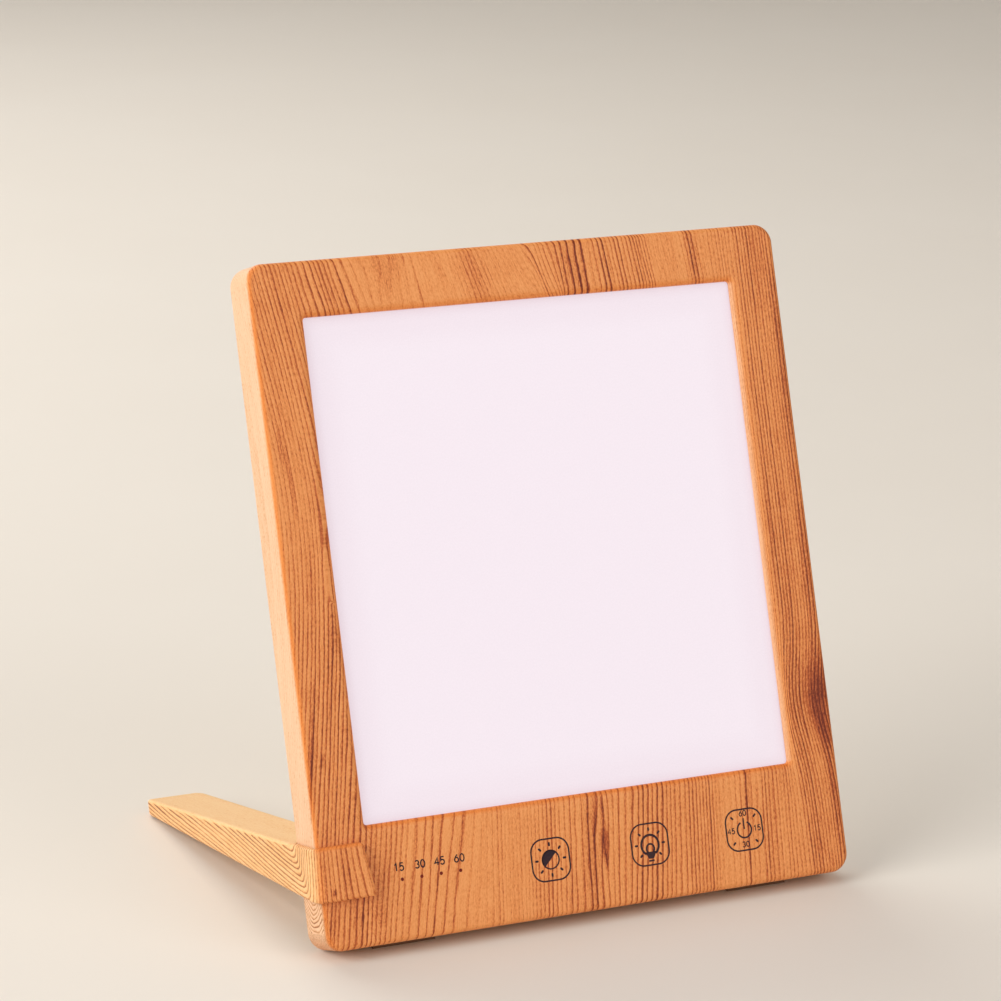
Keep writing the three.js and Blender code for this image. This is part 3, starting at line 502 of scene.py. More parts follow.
# Darkness of the streaks: each a bell across its line times a bell along the height.
def frontStreaks(across, y):
    dark = np.zeros_like(across)
    for streakX, streakY, reachAcross, reachAlong, amount in grain["streaks"]:
        middle = frontGrain(np.float64(streakX), np.float64(streakY))[1]
        dark = dark + amount * bump(across, middle, reachAcross) * bump(y, streakY, reachAlong)
    return dark


# Attributes for the print: (count, across, along), (darkness, paleness, strength), spacing over the usual.
# Darkness and paleness carry painted light and shade as well as the print's own tone.
def storeGrain(piece, lines, across, along, dark, paleAndLit, strength, spacing):
    even, least = grain["even"]
    wide = np.maximum(spacing + 0 * lines, least) / even
    names = ("grainPlace", "grainTone", "grainWide")
    for name, values in zip(names, ((lines, across, along), (dark, paleAndLit, strength), (wide,) * 3)):
        attribute = piece.data.attributes.new(name, "FLOAT_VECTOR", "POINT")
        attribute.data.foreach_set("vector", np.column_stack(values).astype(np.float32).ravel())


# A piece's points as panel places.
def pointsOf(piece):
    places = np.empty(len(piece.data.vertices) * 3)
    piece.data.vertices.foreach_get("co", places)
    return lieDown(places.reshape(-1, 3))


# Distance outside a round-cornered rectangle about the origin, and the outward direction.
def boxDistance(x, y, wide, high, radius):
    overX, overY = np.abs(x) - (wide - radius), np.abs(y) - (high - radius)
    outX, outY = np.maximum(overX, 0), np.maximum(overY, 0)
    length = np.hypot(outX, outY)
    distance = length + np.minimum(np.maximum(overX, overY), 0) - radius
    inside, useX = length < 1e-9, overX > overY
    length = np.maximum(length, 1e-9)
    normalX = np.where(inside, useX, outX / length) * np.sign(x)
    normalY = np.where(inside, ~useX, outY / length) * np.sign(y)
    return distance, normalX, normalY


wrap = {
    # the outside pales, partly a paler print and partly painted light of the left lamp: depths, how much
    # nearer on the left, where that painted light is strongest, how much less below, as painted shade
    "outside": (1.2, 2.8),
    "nearer": (1.05, 1.9),
    "underside": 0.6,
    # window: painted light; its right side pales as lit by the left lamp, the lower, upper and left side
    # take a painted warm glow of the lit sheet
    "window": (0.05, 0.9),
    "windowPale": 0.62,
    "warm": (0.02, 0.5),
    "warmth": (0.9, 0.6, 0.3),
    # loops below the clip: heights; first line, bend, lowest depth, spacing; wave's height and lengths
    "loopsFrom": (34, 20),
    "loops": (300, 0.09, 7, 1.7),
    "wave": (0.5, 2.3, 1.7),
    # outside: strength of the lines, and how much more with height on the left
    "strength": (0.35, 1.1, 34, 18),
    # painted highlight: a warm band along the left edge: distances; warmth, fading of the lines, lightness
    "bandFrom": (2.5, 0.9),
    "band": (0.8, 0.7, 0.05),
    "outsideDark": 0.7,
}


# The print wraps over the edges: a point behind the face takes the grain as far outside the outline, or
# inside the window, as it is deep. Painted light is stored with it: the outside pales partly as lit by the
# left lamp, and a paleness below 0 means warm, painted light on the window's walls and the left edge.
def printFrameAndLight(piece):
    x, y, z = pointsOf(piece).T
    back = np.maximum(-z, 0)
    outer, outX, outY = boxDistance(x, y - halfY, halfX, halfY, panel["corner"])
    window, inX, inY = boxDistance(x, y - windowY, *windowHalf, panel["windowCorner"])
    outside = -outer < window
    faceX = x + np.where(outside, outX, -inX) * back + halfX
    faceY = y + np.where(outside, outY, -inY) * back
    lines, across, strength, spacing = frontGrain(faceX, faceY)
    dark = frontStreaks(across, faceY)
    toLeft = np.clip(-outX, 0, 1) ** 2
    # painted light: the outside pales more on the left and less on the underside, as the left lamp lights it;
    # the rest is the print's paler tone
    starts, ends = (far - near * toLeft for far, near in zip(wrap["outside"], wrap["nearer"]))
    outerPaleAndLit = ease(back, starts, ends)
    # painted light on the window's walls: the right wall pales as lit by the left lamp; the lower, upper and
    # left walls get a painted warm glow of the lit sheet
    wallPaintedLight = ease(back, *wrap["window"]) * wrap["windowPale"] * np.clip(inX, 0, 1)
    lower, upper, left = (np.clip(side, 0, 1) for side in (-inY, inY, -inX))
    warm = np.dot(wrap["warmth"], (lower, upper, left)) * ease(back, *wrap["warm"])
    paleAndLit = np.where(outside, outerPaleAndLit * (1 - wrap["underside"] * np.clip(-outY, 0, 1)), wallPaintedLight - warm)
    first, bend, lowest, apart = wrap["loops"]
    height, lengthUp, lengthBack = wrap["wave"]
    wave = height * np.sin(y / lengthUp + back / lengthBack)
    loops = (bend * (back - lowest) ** 2 - y + wave) / apart
    toLoops = outerPaleAndLit * toLeft * ease(y, *wrap["loopsFrom"]) * outside
    lines = lines * (1 - toLoops) + (loops + first) * toLoops
    plain, more, *heights = wrap["strength"]
    outerStrength = plain + more * ease(y, *heights) * toLeft
    strength = np.where(outside, strength + (outerStrength - strength) * outerPaleAndLit, strength)
    # painted highlight: a warm, lighter band along the left edge's rounding, with fainter lines
    band = ease(-outer, *wrap["bandFrom"]) * toLeft * outside * (1 - outerPaleAndLit)
    warmth, fading, lightness = wrap["band"]
    strength = strength * (1 - fading * band)
    dark = dark * (1 - wrap["outsideDark"] * outerPaleAndLit) - lightness * band
    storeGrain(piece, lines, across, faceY, dark, paleAndLit - warmth * band, strength, spacing)


wood = {
    # shades from pale wood to the darkest line: side and leg are paler, partly a paler print and partly
    # painted light on lit faces; rim is warmer, for painted light and shade where the paleness is below 0
    "places": (0.0, 0.3, 0.62, 1.0),
    "face": ((243, 164, 98), (230, 144, 78), (188, 92, 42), (112, 38, 14)),
    "side": ((238, 198, 163), (231, 186, 146), (204, 146, 96), (142, 82, 44)),
    "leg": ((246, 204, 150), (238, 187, 126), (200, 134, 78), (142, 80, 40)),
    "rim": ((236, 140, 66), (222, 122, 50), (188, 92, 34), (120, 46, 16)),
    # a line's darkness on the way to the next, and where it is darkest
    "line": ((0.0, 0.0), (0.4, 0.1), (0.6, 0.45), (0.8, 1.0), (0.92, 0.75), (1.0, 0.0)),
    "darkest": 0.8,
    # least darkness of a line, and how much chance adds
    "chance": (0.75, 0.5),
    "base": 0.12,
    "lineDepth": 0.5,
    # noise along the grain: amount, fineness across and along, offset, detail, roughness
    "slow": (0.88, 0.16, 0.018, 0.0, 2.0, 0.5),
    "quick": (0.28, 0.9, 0.11, 7.0, 2.0, 0.5),
    "fibre": (0.92, 2.6, 0.14, 2.0, 4.0, 0.62),
    "patch": (0.44, 0.22, 0.014, 9.0, 3.0, 0.55),
    "speck": (1.0, 1.9, 0.8, 5.0, 2.0, 0.6),
    "rough": (0.4, 0.52),
    # relief of lines and of fibres, and its depth
    "relief": (-0.5, 0.7, 0.05),
    "sockets": {"Specular_IOR_Level": 0.26, "Coat_Weight": 0.04, "Coat_Roughness": 0.35},
    # without attributes: line spacing, then darkness, paleness, strength and width
    "flatSpacing": 1.7,
    "flat": (0.05, 1.0, 1.2, 1.1),
}


# Satin plastic printed with wood: each whole number of the count starts a line, pale first and darkest near
# its end; fibres, specks and patches are noise drawn out along the grain.
def woodPrint(name, paleAndLit="side", fromAttribute=True):
    sheet = nodeSheet(name)
    if fromAttribute:
        lines, across, along = sheet.attribute("grainPlace")
        dark, palenessAndLight, strength = sheet.attribute("grainTone")
        wide = sheet.attribute("grainWide")[0]
    else:
        across, up, out = sheet.split(sheet.panelPlace())
        lines = sheet.math("DIVIDE", across, wood["flatSpacing"])
        along = sheet.math("SUBTRACT", up, out)
        dark, palenessAndLight, strength, wide = wood["flat"]

    def drawn(key):
        fineAcross, fineAlong, offset, *rest = wood[key][1:]
        places = sheet.math("MULTIPLY", across, fineAcross), sheet.math("MULTIPLY", along, fineAlong)
        return sheet.noise(sheet.vector(*places, offset), 1.0, *rest)

    noises = {key: drawn(key) for key in ("slow", "quick", "fibre", "patch", "speck")}
    slow, quick = (sheet.sway(noises[key], wood[key][0]) for key in ("slow", "quick"))
    count = sheet.math("ADD", lines, sheet.math("ADD", slow, quick))
    least, more = wood["chance"]
    chance = sheet.node("TexWhiteNoise", {"W": sheet.math("FLOOR", count)}, noise_dimensions="1D")
    byChance = sheet.math("MULTIPLY_ADD", chance.outputs["Value"], more, least)
    strength = sheet.math("MULTIPLY", byChance, strength)
    line = sheet.math("POWER", sheet.ramp(sheet.math("FRACT", count), wood["line"]), wide)
    tone = sheet.math("MULTIPLY", line, strength)
    tone = sheet.math("MULTIPLY_ADD", tone, wood["lineDepth"], wood["base"])
    for key in ("fibre", "patch", "speck"):
        tone = sheet.sway(noises[key], wood[key][0], tone)
    tone = sheet.math("ADD", tone, dark)

    def shades(key):
        return sheet.ramp(tone, zip(wood["places"], map(colour, wood[key])))

    # painted light and shade: a paleness above 0 mixes in the paler side or leg tones, below 0 the warm rim
    # tones
    paintedWarmed = sheet.mix(sheet.span(palenessAndLight, 0.0, -1.0), shades("face"), shades("rim"))
    ofLine, ofFibre, depth = wood["relief"]
    relief = sheet.math("MULTIPLY_ADD", line, ofLine, sheet.math("MULTIPLY", noises["fibre"], ofFibre))
    return sheet.finish(
        relief,
        depth,
        Base_Color=sheet.mix(sheet.span(palenessAndLight, 0.0, 1.0), paintedWarmed, shades(paleAndLit)),
        Roughness=sheet.gloss(noises["fibre"], *wood["rough"]),
        **wood["sockets"],
    )


woodSkin = woodPrint("woodPrint")
standSkin = woodPrint("standPrint", "leg")
woodFlat = woodPrint("coverPrint", "leg", fromAttribute=False)
print("wood print ready")

# Points round the outline, bands over stretches of the section
frameSteps = {"outline": (150, 172, 16), "round": 7, "side": 10, "face": 26, "behind": 5, "inner": 3}


# A hoop of outlines from the back rim up the side wall, over the front, into the window and back behind the
# front wall. Round edges are quarter circles.
def makeFrame():
    high, corner, depth = panel["height"], panel["corner"], panel["depth"]

    def loop(side, low, top, radius, z):
        return atHeight(roundBox(-side, side, low, top, radius, frameSteps["outline"]), z)

    def outerLoop(inset, z):
        return loop(halfX - inset, inset, high - inset, corner - inset, z)

    def windowLoop(outset, z):
        low, top = panel["chin"] - outset, high - panel["border"] + outset
        return loop(windowHalf[0] + outset, low, top, panel["windowCorner"] + outset, z)

    def between(first, second, key):
        return [first + (second - first) * step for step in np.linspace(0, 1, frameSteps[key] + 1)[1:-1]]

    quarter = np.linspace(0, math.pi / 2, frameSteps["round"])
    front, back = panel["frontRound"], panel["backRound"]
    loops = [outerLoop(back * (1 - math.sin(a)), -depth + back * (1 - math.cos(a))) for a in quarter]
    wallTop = [outerLoop(front * (1 - math.cos(a)), -front * (1 - math.sin(a))) for a in quarter]
    loops += between(loops[-1], wallTop[0], "side") + wallTop
    reach, window = panel["windowFlare"], panel["windowRound"]
    flare = [windowLoop(reach * (1 - math.sin(a)), -window * (1 - math.cos(a))) for a in quarter]
    loops += between(loops[-1], flare[0], "face") + flare + [windowLoop(0, -panel["front"])]
    behind, rim = (outerLoop(panel["wall"], z) for z in (-panel["front"], -depth))
    loops += between(loops[-1], behind, "behind") + [behind] + between(behind, rim, "inner") + [rim]
    return loft("frontFrame", loops, joined=True)


holes = {
    "lightXs": (-73.5, -66.0, -58.5, -51.0),
    "lightY": 21.6,
    "lightRadius": 0.66,
    "inletY": 20.0,
    "inletZ": -8.0,
    "inletRadius": 4.3,
    "footX": 71,
    "footReach": 12.3,
    "footSink": 1.0,
    "footDepths": (10.9, 14.7),
    "past": 1,  # how far a cutter stands past its wall
}


# A box as six grids, with its own number of steps each way.
def block(name, low, high, steps=(1, 1, 1)):
    low, high = np.array(low, float), np.array(high, float)
    points, faces = [], []
    for axis in range(3):
        first, second = (axis + 1) % 3, (axis + 2) % 3
        u, v = (np.linspace(0, 1, steps[other] + 1) for other in (first, second))
        for side in (0, 1):
            grid = np.zeros((len(u), len(v), 3))
            grid[..., axis] = side
            grid[..., first], grid[..., second] = np.meshgrid(u, v, indexing="ij")
            faces += gridFaces(len(u), len(v), False, sum(map(len, points)))
            points.append(grid.reshape(-1, 3))
    return makePiece(name, low + np.concatenate(points) * (high - low), faces)


# A bar for each light, one for the inlet turned to lie along x, and a block for each foot.
def frameHoles():
    past, radius, reach = holes["past"], holes["lightRadius"], holes["footReach"]
    cutters = [bar("hole", x, holes["lightY"], -panel["depth"], past, radius, 24) for x in holes["lightXs"]]
    start, end = halfX - panel["wall"] - past, halfX + past
    inlet = bar("hole", 0, holes["inletY"], start, end, holes["inletRadius"], 48)
    x, y, z = pointsOf(inlet).T
    inlet.data.vertices.foreach_set("co", standUp(np.column_stack((z, y, holes["inletZ"] - x))).ravel())
    cutters.append(inlet)
    near, far = holes["footDepths"]
    for x in (-holes["footX"], holes["footX"]):
        cutters.append(block("seat", (x - reach, -past, -far), (x + reach, holes["footSink"], -near)))
    return cutters


frontFrame = carve(makeFrame(), frameHoles())
printFrameAndLight(frontFrame)
dress(frontFrame, woodSkin, "lamp", "wood_print", "front_frame")
print("frame made:", len(frontFrame.data.polygons), "faces")

# Depths run from the panel's face to the back
stand = {
    "lipFront": -3.0,
    "tip": 156.85,
    "left": -108.0,
    "right": -84.5,
    "low": 17.9,
    "high": 36.7,
    "lowSlope": math.tan(math.radians(11.3)),
    "topSlope": math.tan(math.radians(6.7)),
    "slant": math.tan(math.radians(9)),
    "edge": 1.2,
    "lipRound": 1.3,
    "tipRound": 2.6,
    "frontCorner": 4.5,
    "tipCorners": (4.0, 7.0),
    # reach and count of close sections at the ends, even ones between, points round each, caps
    "closeSections": (4.5, 17),
    "evenSections": (5.5, 5, 1.0),
    "outline": (18, 16, 6),
    "caps": (0.08, 10),
    "slotLeft": -105.3,
    "slotBack": 16.8,
    "slotFront": 0.3,
    "slotPast": (1, 2.5, 4),
    "slotSteps": (20, 26, 17),
    "hollow": (21.4, 135.0, -106.0, -89.48),
    "wall": 2.0,
    "screwDepths": (33.4, 123.0),
    "screwMiddle": -96.25,
    # bars: from, to, radius, points round
    "boss": (2.7, 30, 2.8, 32),
    "pilot": (0, 7.7, 1.3, 20),
    "grip": ((-102.8, 23.46, -18.2), (-89.68, 36.47, -16.0)),
    "heel": (143.7, 154.3, -104.8, -87.7, 1.2),
}


# Heights of the leg's underside and top at a depth, each a slope.
def legLow(depth):
    return stand["low"] + depth * stand["lowSlope"]


def legTop(depth):
    return stand["high"] + depth * stand["topSlope"]


# A place's depth and height, so far along the underside from a depth and so far square to it.
def legPlace(depth, along, square):
    turn = math.atan(stand["lowSlope"])
    cosine, sine = math.cos(turn), math.sin(turn)
    return depth + along * cosine - square * sine, legLow(depth) + along * sine + square * cosine


# How far a quarter circle lies inside its corner, at a distance from the end.
def cornerInset(distance, radius):
    reach = np.clip(radius - distance, 0, radius)
    return radius - np.sqrt(np.maximum(radius**2 - reach**2, 0))


# Round-cornered sections along the depth, leaning in on the right with height. Quarter circles draw the ends
# in, and ever smaller copies close them.
def makeStandForm():
    front, tip = stand["lipFront"], stand["tip"]
    reach, count = stand["closeSections"]
    eased = reach * (1 - np.cos(np.linspace(0, math.pi / 2, count)))
    fromFront, fromTip, pitch = stand["evenSections"]
    even = np.arange(front + fromFront, tip - fromTip, pitch)
    width = stand["right"] - stand["left"]
    rings = []
    for depth in np.concatenate((front + eased, even, (tip - eased)[::-1])):
        near, far = depth - front, tip - depth
        below = cornerInset(near, stand["lipRound"]) + cornerInset(far, stand["tipRound"])
        leftIn = cornerInset(near, stand["frontCorner"]) + cornerInset(far, stand["tipCorners"][0])
        rightIn = cornerInset(near, stand["lipRound"]) + cornerInset(far, stand["tipCorners"][1])
        low, high = legLow(depth) + below, legTop(depth) - below
        radius = min(stand["edge"], (high - low) / 2.2)  # less than half the height
        across, rise = roundBox(leftIn, width - rightIn, 0, high - low, radius, stand["outline"]).T
        x = stand["left"] + across * (1 - (rise + below) * stand["slant"] / width)
        rings.append(np.column_stack((x, low + rise, np.full(len(x), -depth))))
    least, count = stand["caps"]
    shares = np.linspace(1, least, count)[1:, None, None]
    start, end = (edge.mean(0) + (edge - edge.mean(0)) * shares for edge in (rings[0], rings[-1]))
    return loft("standShell", [*start[::-1], *rings, *end])


# A block with straight sides, from corners given as depth and height.
def wedge(name, corners, left, right):
    return loft(name, [[(x, height, -depth) for depth, height in corners] for x in (left, right)])


# A round bar square to the leg's underside, from one height above it to another.
def legBar(name, depth, low, high, radius, sides):
    u, v = (radius * circle(sides)).T
    rings = []
    for height in (low, high):
        depths, heights = legPlace(depth, v, height)
        rings.append(np.column_stack((stand["screwMiddle"] + u, heights, -depths)))
    return loft(name, rings)


# The panel's slot, the grip's seat, the leg's hollow round two bosses, their holes and the heel's seat.
def standCutters():
    pastRight, pastLow, pastHigh = stand["slotPast"]
    slotLow = (stand["slotLeft"], stand["low"] - pastLow, -stand["slotBack"])
    slotHigh = (stand["right"] + pastRight, stand["high"] + pastHigh, stand["slotFront"])
    slot = block("slot", slotLow, slotHigh, stand["slotSteps"])
    grip = block("gripSeat", *stand["grip"])

    # along the underside, from 1 mm below it up to a line of heights
    def underside(name, near, far, left, right, height):
        corners = ((near, legLow(near) - 1), (far, legLow(far) - 1), (far, height(far)), (near, height(near)))
        return wedge(name, corners, left, right)

    hollow = underside("hollow", *stand["hollow"], lambda depth: legTop(depth) - stand["wall"])
    carve(hollow, [legBar("boss", depth, *stand["boss"]) for depth in stand["screwDepths"]])
    pilots = [legBar("pilot", depth, *stand["pilot"]) for depth in stand["screwDepths"]]
    *heelPlace, sink = stand["heel"]
    heel = underside("heelSeat", *heelPlace, lambda depth: legLow(depth) + sink)
    return [slot, grip, hollow, *pilots, heel]


legGrain = {
    "firstLine": 400,
    "lineSpacing": 2.1,
    # the lip: lines to a millimetre, how many fewer with each millimetre, first line
    "lip": (0.729, 0.0094, -0.39),
    # how far its lines go right as they go down, at both sides, about a height
    "fan": (-0.105, 0.158, 9),
    "sideSpacing": 1.5,
    # the leg: first line, spacing, closer spacing low down, height that it ends at
    "leg": (-1.3, 1.75, 1.5, 4.0),
    # slope of its lines from a depth, and their wave's height, length and start
    "climb": (0.14, 8),
    "wave": (0.7, 19, 0.6),
    "meet": 1.3,
    # the side pales partly as painted light of the left lamp; the top is a painted highlight: pale, lighter,
    # faint lines
    "sidePale": 0.88,
    "paleBehind": 17,
    "slowAlong": 0.7,
    "topFaint": 0.97,
    "topLight": 0.05,
    # degrees round the lip's corner over which the side begins and lines grow stronger
    "side": (72, 34),
    "corner": (60, 20),
    # near the upper edge, by distances and depths: the plain top, a painted highlight; stronger lines; a warm
    # band, a painted shadow along the lip's top edge where it meets the frame
    "top": (1.3, 0.4, 12, 22),
    "hooks": (4.6, 2.2, 30, 60),
    "band": (1.5, 0.5, 4, 2),
    "stronger": 0.4,
    "bandWarm": 0.7,
    "bandFaint": 0.5,
    # streaks on the lip: place, height, reach across, reach up, amount
    "streaks": (
        (7.6, 20.6, 0.6, 0.9, 0.9), (4.4, 27, 1, 14, 0.22), (7.2, 27, 0.5, 14, 0.2), (12.6, 24, 1.5, 9, 0.14),
    ),
    "streakDepths": (1, -1),
}


# On the lip the lines stand upright and fan out to its slanted side; on the side they turn back along the
# leg in nested loops: the count is the soft maximum of an upright and a lengthwise family.
def printStandAndLight(piece):
    x, y, z = pointsOf(piece).T
    depth, width, place = -z, stand["right"] - stand["left"], x - stand["left"]
    rise, tall = y - legLow(depth), legTop(depth) - legLow(depth)

    def nearTop(key):
        low, high, *depths = legGrain[key]
        return ease(rise, tall - low, tall - high) * ease(depth, *depths)

    leftFan, rightFan, level = legGrain["fan"]
    fan = place + (leftFan + (rightFan - leftFan) * place / width) * (rise - level)
    behind, corner = depth - stand["lipFront"], stand["frontCorner"]
    reach = fan - behind
    perLine, fewer, first = legGrain["lip"]
    onLip = perLine * reach - fewer * reach**2
    upright = first + np.where(reach > 0, onLip, reach / legGrain["sideSpacing"])
    slope, level = legGrain["climb"]
    height, length, start = legGrain["wave"]
    bent = rise - slope * (depth - level) + height * np.sin(depth / length + start)
    first, pitch, finePitch, fineRise = legGrain["leg"]
    lengthwise = first - bent / pitch - (1 / finePitch - 1 / pitch) * np.minimum(rise, fineRise)
    soft = legGrain["meet"]
    lines = np.maximum(upright, lengthwise) + soft * np.log1p(np.exp(-np.abs(upright - lengthwise) / soft))
    turn = np.degrees(np.arctan2(np.maximum(corner - behind, 0), corner - fan))
    onSide, onTop = ease(turn, *legGrain["side"]), nearTop("top")
    across = np.maximum(reach, -bent) * (1 - onTop) + place * onTop
    along = (depth * legGrain["slowAlong"] + y) * (1 - onTop) + depth * onTop
    # painted light, partly a paler print: the side pales as the left lamp lights it; the top is a painted
    # highlight
    paleAndLit = legGrain["sidePale"] + (1 - legGrain["sidePale"]) * onTop
    paleAndLit = paleAndLit * np.where(depth < legGrain["paleBehind"], onSide, 1)
    dark = -legGrain["topLight"] * onTop
    for streakX, streakY, reachX, reachY, amount in legGrain["streaks"]:
        streak = amount * bump(fan, streakX, reachX) * bump(y, streakY, reachY)
        dark = dark + streak * ease(depth, *legGrain["streakDepths"])
    stronger = ease(turn, *legGrain["corner"]) + nearTop("hooks")
    strength = (1.0 + legGrain["stronger"] * stronger) * (1 - legGrain["topFaint"] * onTop)
    # painted shadow: a warm band along the lip's top edge, where it meets the frame, with fainter lines
    band = nearTop("band") * (1 - onSide)
    paleAndLit, strength = paleAndLit - legGrain["bandWarm"] * band, strength * (1 - legGrain["bandFaint"] * band)
    lines = lines + legGrain["firstLine"]
    storeGrain(piece, lines, across, along, dark, paleAndLit, strength, legGrain["lineSpacing"])


standShell = carve(makeStandForm(), standCutters())
printStandAndLight(standShell)
dress(standShell, standSkin, "stand", "wood_print", "stand_shell")
print("stand made:", len(standShell.data.polygons), "faces")

matt, metal = {"Specular_IOR_Level": 0.2}, {"Metallic": 1.0}
clear = {"Transmission_Weight": 0.85, "IOR": 1.49}
# Both shades, grains to a millimetre, roughness from and to, relief in millimetres, sockets, stretch
finishes = {
    "coverPlastic": ((238, 219, 190), (235, 215, 185), 3.0, (0.48, 0.62), 0.03),
    "whitePlastic": ((238, 238, 234), (228, 228, 224), 0.6, (0.4, 0.5), 0.01),
    "blackPlastic": ((30, 30, 33), (40, 40, 43), 1.5, (0.42, 0.58), 0.015),
    "ink": ((42, 30, 42), (62, 40, 42), 1.2, (0.55, 0.65), 0.004, matt),
    "softRubber": ((112, 84, 62), (124, 94, 70), 1.8, (0.75, 0.92), 0.03),
    "millAluminium": ((196, 198, 200), (180, 182, 185), 0.8, (0.32, 0.46), 0.01, metal, (1, 0.05, 0.05)),
    "zincSteel": ((178, 178, 176), (150, 150, 150), 1.4, (0.24, 0.4), 0.01, metal),
    "brightBrass": ((222, 184, 104), (200, 160, 84), 1.0, (0.2, 0.34), 0.01, metal),
    "redInsulation": ((176, 36, 28), (156, 28, 24), 0.9, (0.38, 0.5), 0.01),
    "blackInsulation": ((28, 28, 30), (38, 38, 40), 0.9, (0.38, 0.5), 0.01),
    "clearAcrylic": ((240, 246, 248), (232, 240, 242), 0.3, (0.05, 0.1), 0.002, clear),
    "smokedAcrylic": ((112, 26, 12), (130, 34, 18), 1.4, (0.4, 0.5), 0.002, matt),
}


# A fine and a broad noise mix two near shades; the fine one also moves the gloss and the relief.
def plainFinish(name, first, second, grainy, rough, relief, sockets=(), stretch=(1, 1, 1)):
    sheet = nodeSheet(name)
    place = sheet.objectPlace(tuple(value / mm for value in stretch))
    fine = sheet.noise(place, grainy, 3.0, 0.6)
    broad = sheet.noise(place, grainy * 0.06, 2.0)
    share = sheet.span(sheet.math("ADD", fine, broad), 0.75, 1.25)
    shade, gloss = sheet.mix(share, colour(first), colour(second)), sheet.gloss(fine, *rough)
    return sheet.finish(fine, relief, Base_Color=shade, Roughness=gloss, **dict(sockets))


looks = {name: plainFinish(name, *facts) for name, facts in finishes.items()}

opal = {
    # softness of the light's corners, and its fall by the distance from the edge
    "corner": 4.0,
    "reach": (-1.5, 16.0),
    "fall": ((0.0, 0.0), (0.35, 0.7), (1.0, 1.0)),
    "light": ((226, 208, 220), (238, 226, 236)),
    "sheet": ((150, 145, 150), (156, 151, 156)),
    "strength": 0.72,
    "grain": 1.6,
    "speck": (0.35, 0.65),
    "rough": (0.5, 0.6),
    "relief": 0.004,
}


# Opal sheet lit from behind: even light, a little weaker along the window's edges, over faint specks.
def opalFinish():
    sheet = nodeSheet("opalSheet")
    x, y = sheet.split(sheet.panelPlace())[:2]
    side = sheet.math("SUBTRACT", windowHalf[0], sheet.math("ABSOLUTE", x))
    above = sheet.math("SUBTRACT", windowHalf[1], sheet.math("ABSOLUTE", sheet.math("SUBTRACT", y, windowY)))
    nearest = sheet.math("SMOOTH_MIN", side, above, opal["corner"])
    fall = sheet.ramp(sheet.span(nearest, *opal["reach"]), opal["fall"], "EASE")
    speck = sheet.noise(sheet.panelPlace(), opal["grain"])
    return sheet.finish(
        speck,
        opal["relief"],
        Base_Color=sheet.mix(sheet.span(speck, *opal["speck"]), *map(colour, opal["sheet"])),
        Roughness=sheet.gloss(speck, *opal["rough"]),
        Emission_Color=sheet.mix(fall, *map(colour, opal["light"])),
        Emission_Strength=opal["strength"],
    )


board = {
    # the tracks jog: fineness of the noise, its steps, how far they move
    "jog": (0.09, 0.04, 26.0),
    # half the pitch of the tracks, and their edge
    "pitch": 1.1,
    "edge": (0.28, 0.36),
    "shades": ((22, 82, 52), (44, 116, 74)),
    "grain": 3.0,
    "rough": (0.28, 0.4),
    # relief, and the specks' share of it
    "relief": (0.02, 0.2),
}


# Green board whose copper tracks show as paler lines: stepped bands across and along.
def boardFinish():
    sheet = nodeSheet("circuitBoard")
    y = sheet.split(sheet.panelPlace())[1]
    fine, steps, move = board["jog"]
    jog = sheet.math("SNAP", sheet.noise(sheet.panelPlace(), fine, 1.0), steps)
    band = sheet.math("PINGPONG", sheet.math("MULTIPLY_ADD", jog, move, y), board["pitch"])
    track = sheet.span(band, *board["edge"], 1.0, 0.0)
    speck = sheet.noise(sheet.panelPlace(), board["grain"])
    depth, share = board["relief"]
    return sheet.finish(
        sheet.math("ADD", track, sheet.math("MULTIPLY", speck, share)),
        depth,
        Base_Color=sheet.mix(track, *map(colour, board["shades"])),
        Roughness=sheet.gloss(speck, *board["rough"]),
    )


looks.update(opalSheet=opalFinish(), circuitBoard=boardFinish())

# Finishes by how the names of their solids start
nodeLooks = {
    "coverPlastic": ("back_cover",),
    "opalSheet": ("diffuser_plate",),
    "clearAcrylic": ("light_guide",),
    "whitePlastic": ("reflector_sheet", "power_socket", "led_strip", "led_socket"),
    "millAluminium": ("backlight_tray", "heat_rail", "capacitor"),
    "circuitBoard": ("control_board",),
    "blackPlastic": ("power_inlet", "timer_controller", "driver"),
    "brightBrass": ("power_inlet_pin", "touch_spring"),
    "softRubber": ("grip_pad", "stand_heel", "foot"),
    "smokedAcrylic": ("timer_light",),
    "zincSteel": ("cover_screw", "tray_screw", "board_screw", "stand_screw"),
}
lookStarts = {start: look for look, starts in nodeLooks.items() for start in starts}


# Wires by their colour, or else the longest start that fits, or wood.
def lookFor(nodeName):
    if "_wire_" in nodeName:
        return looks["redInsulation" if nodeName.endswith("red") else "blackInsulation"]
    fits = [start for start in lookStarts if nodeName.startswith(start)]
    return looks[lookStarts[max(fits, key=len)]] if fits else woodFlat


for nodeName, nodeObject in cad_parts.items():
    nodeObject.data.materials.clear()
    nodeObject.data.materials.append(lookFor(nodeName))
print("solids dressed")

# A screw's recess: half sizes of its crossed arms, its depth, how far its cutters stand out
recess = {"arms": ((1.05, 0.24), (0.24, 1.05)), "deep": 0.8, "out": 1.0}


# A copy of a solid with its loose triangles joined.
def mergedCopy(name, nodeName):
    piece = newObject(name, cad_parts[nodeName].data.copy())
    cleanMesh(piece.data, 30)
    return piece


# Two blocks crossed on the middle of a head that faces back.
def backRecess(low, high):
    x, y = (low + high)[:2] / 2
    start, end = low[2] - recess["out"], low[2] + recess["deep"]
    return [block("recess", (x - u, y - v, start), (x + u, y + v, end)) for u, v in recess["arms"]]


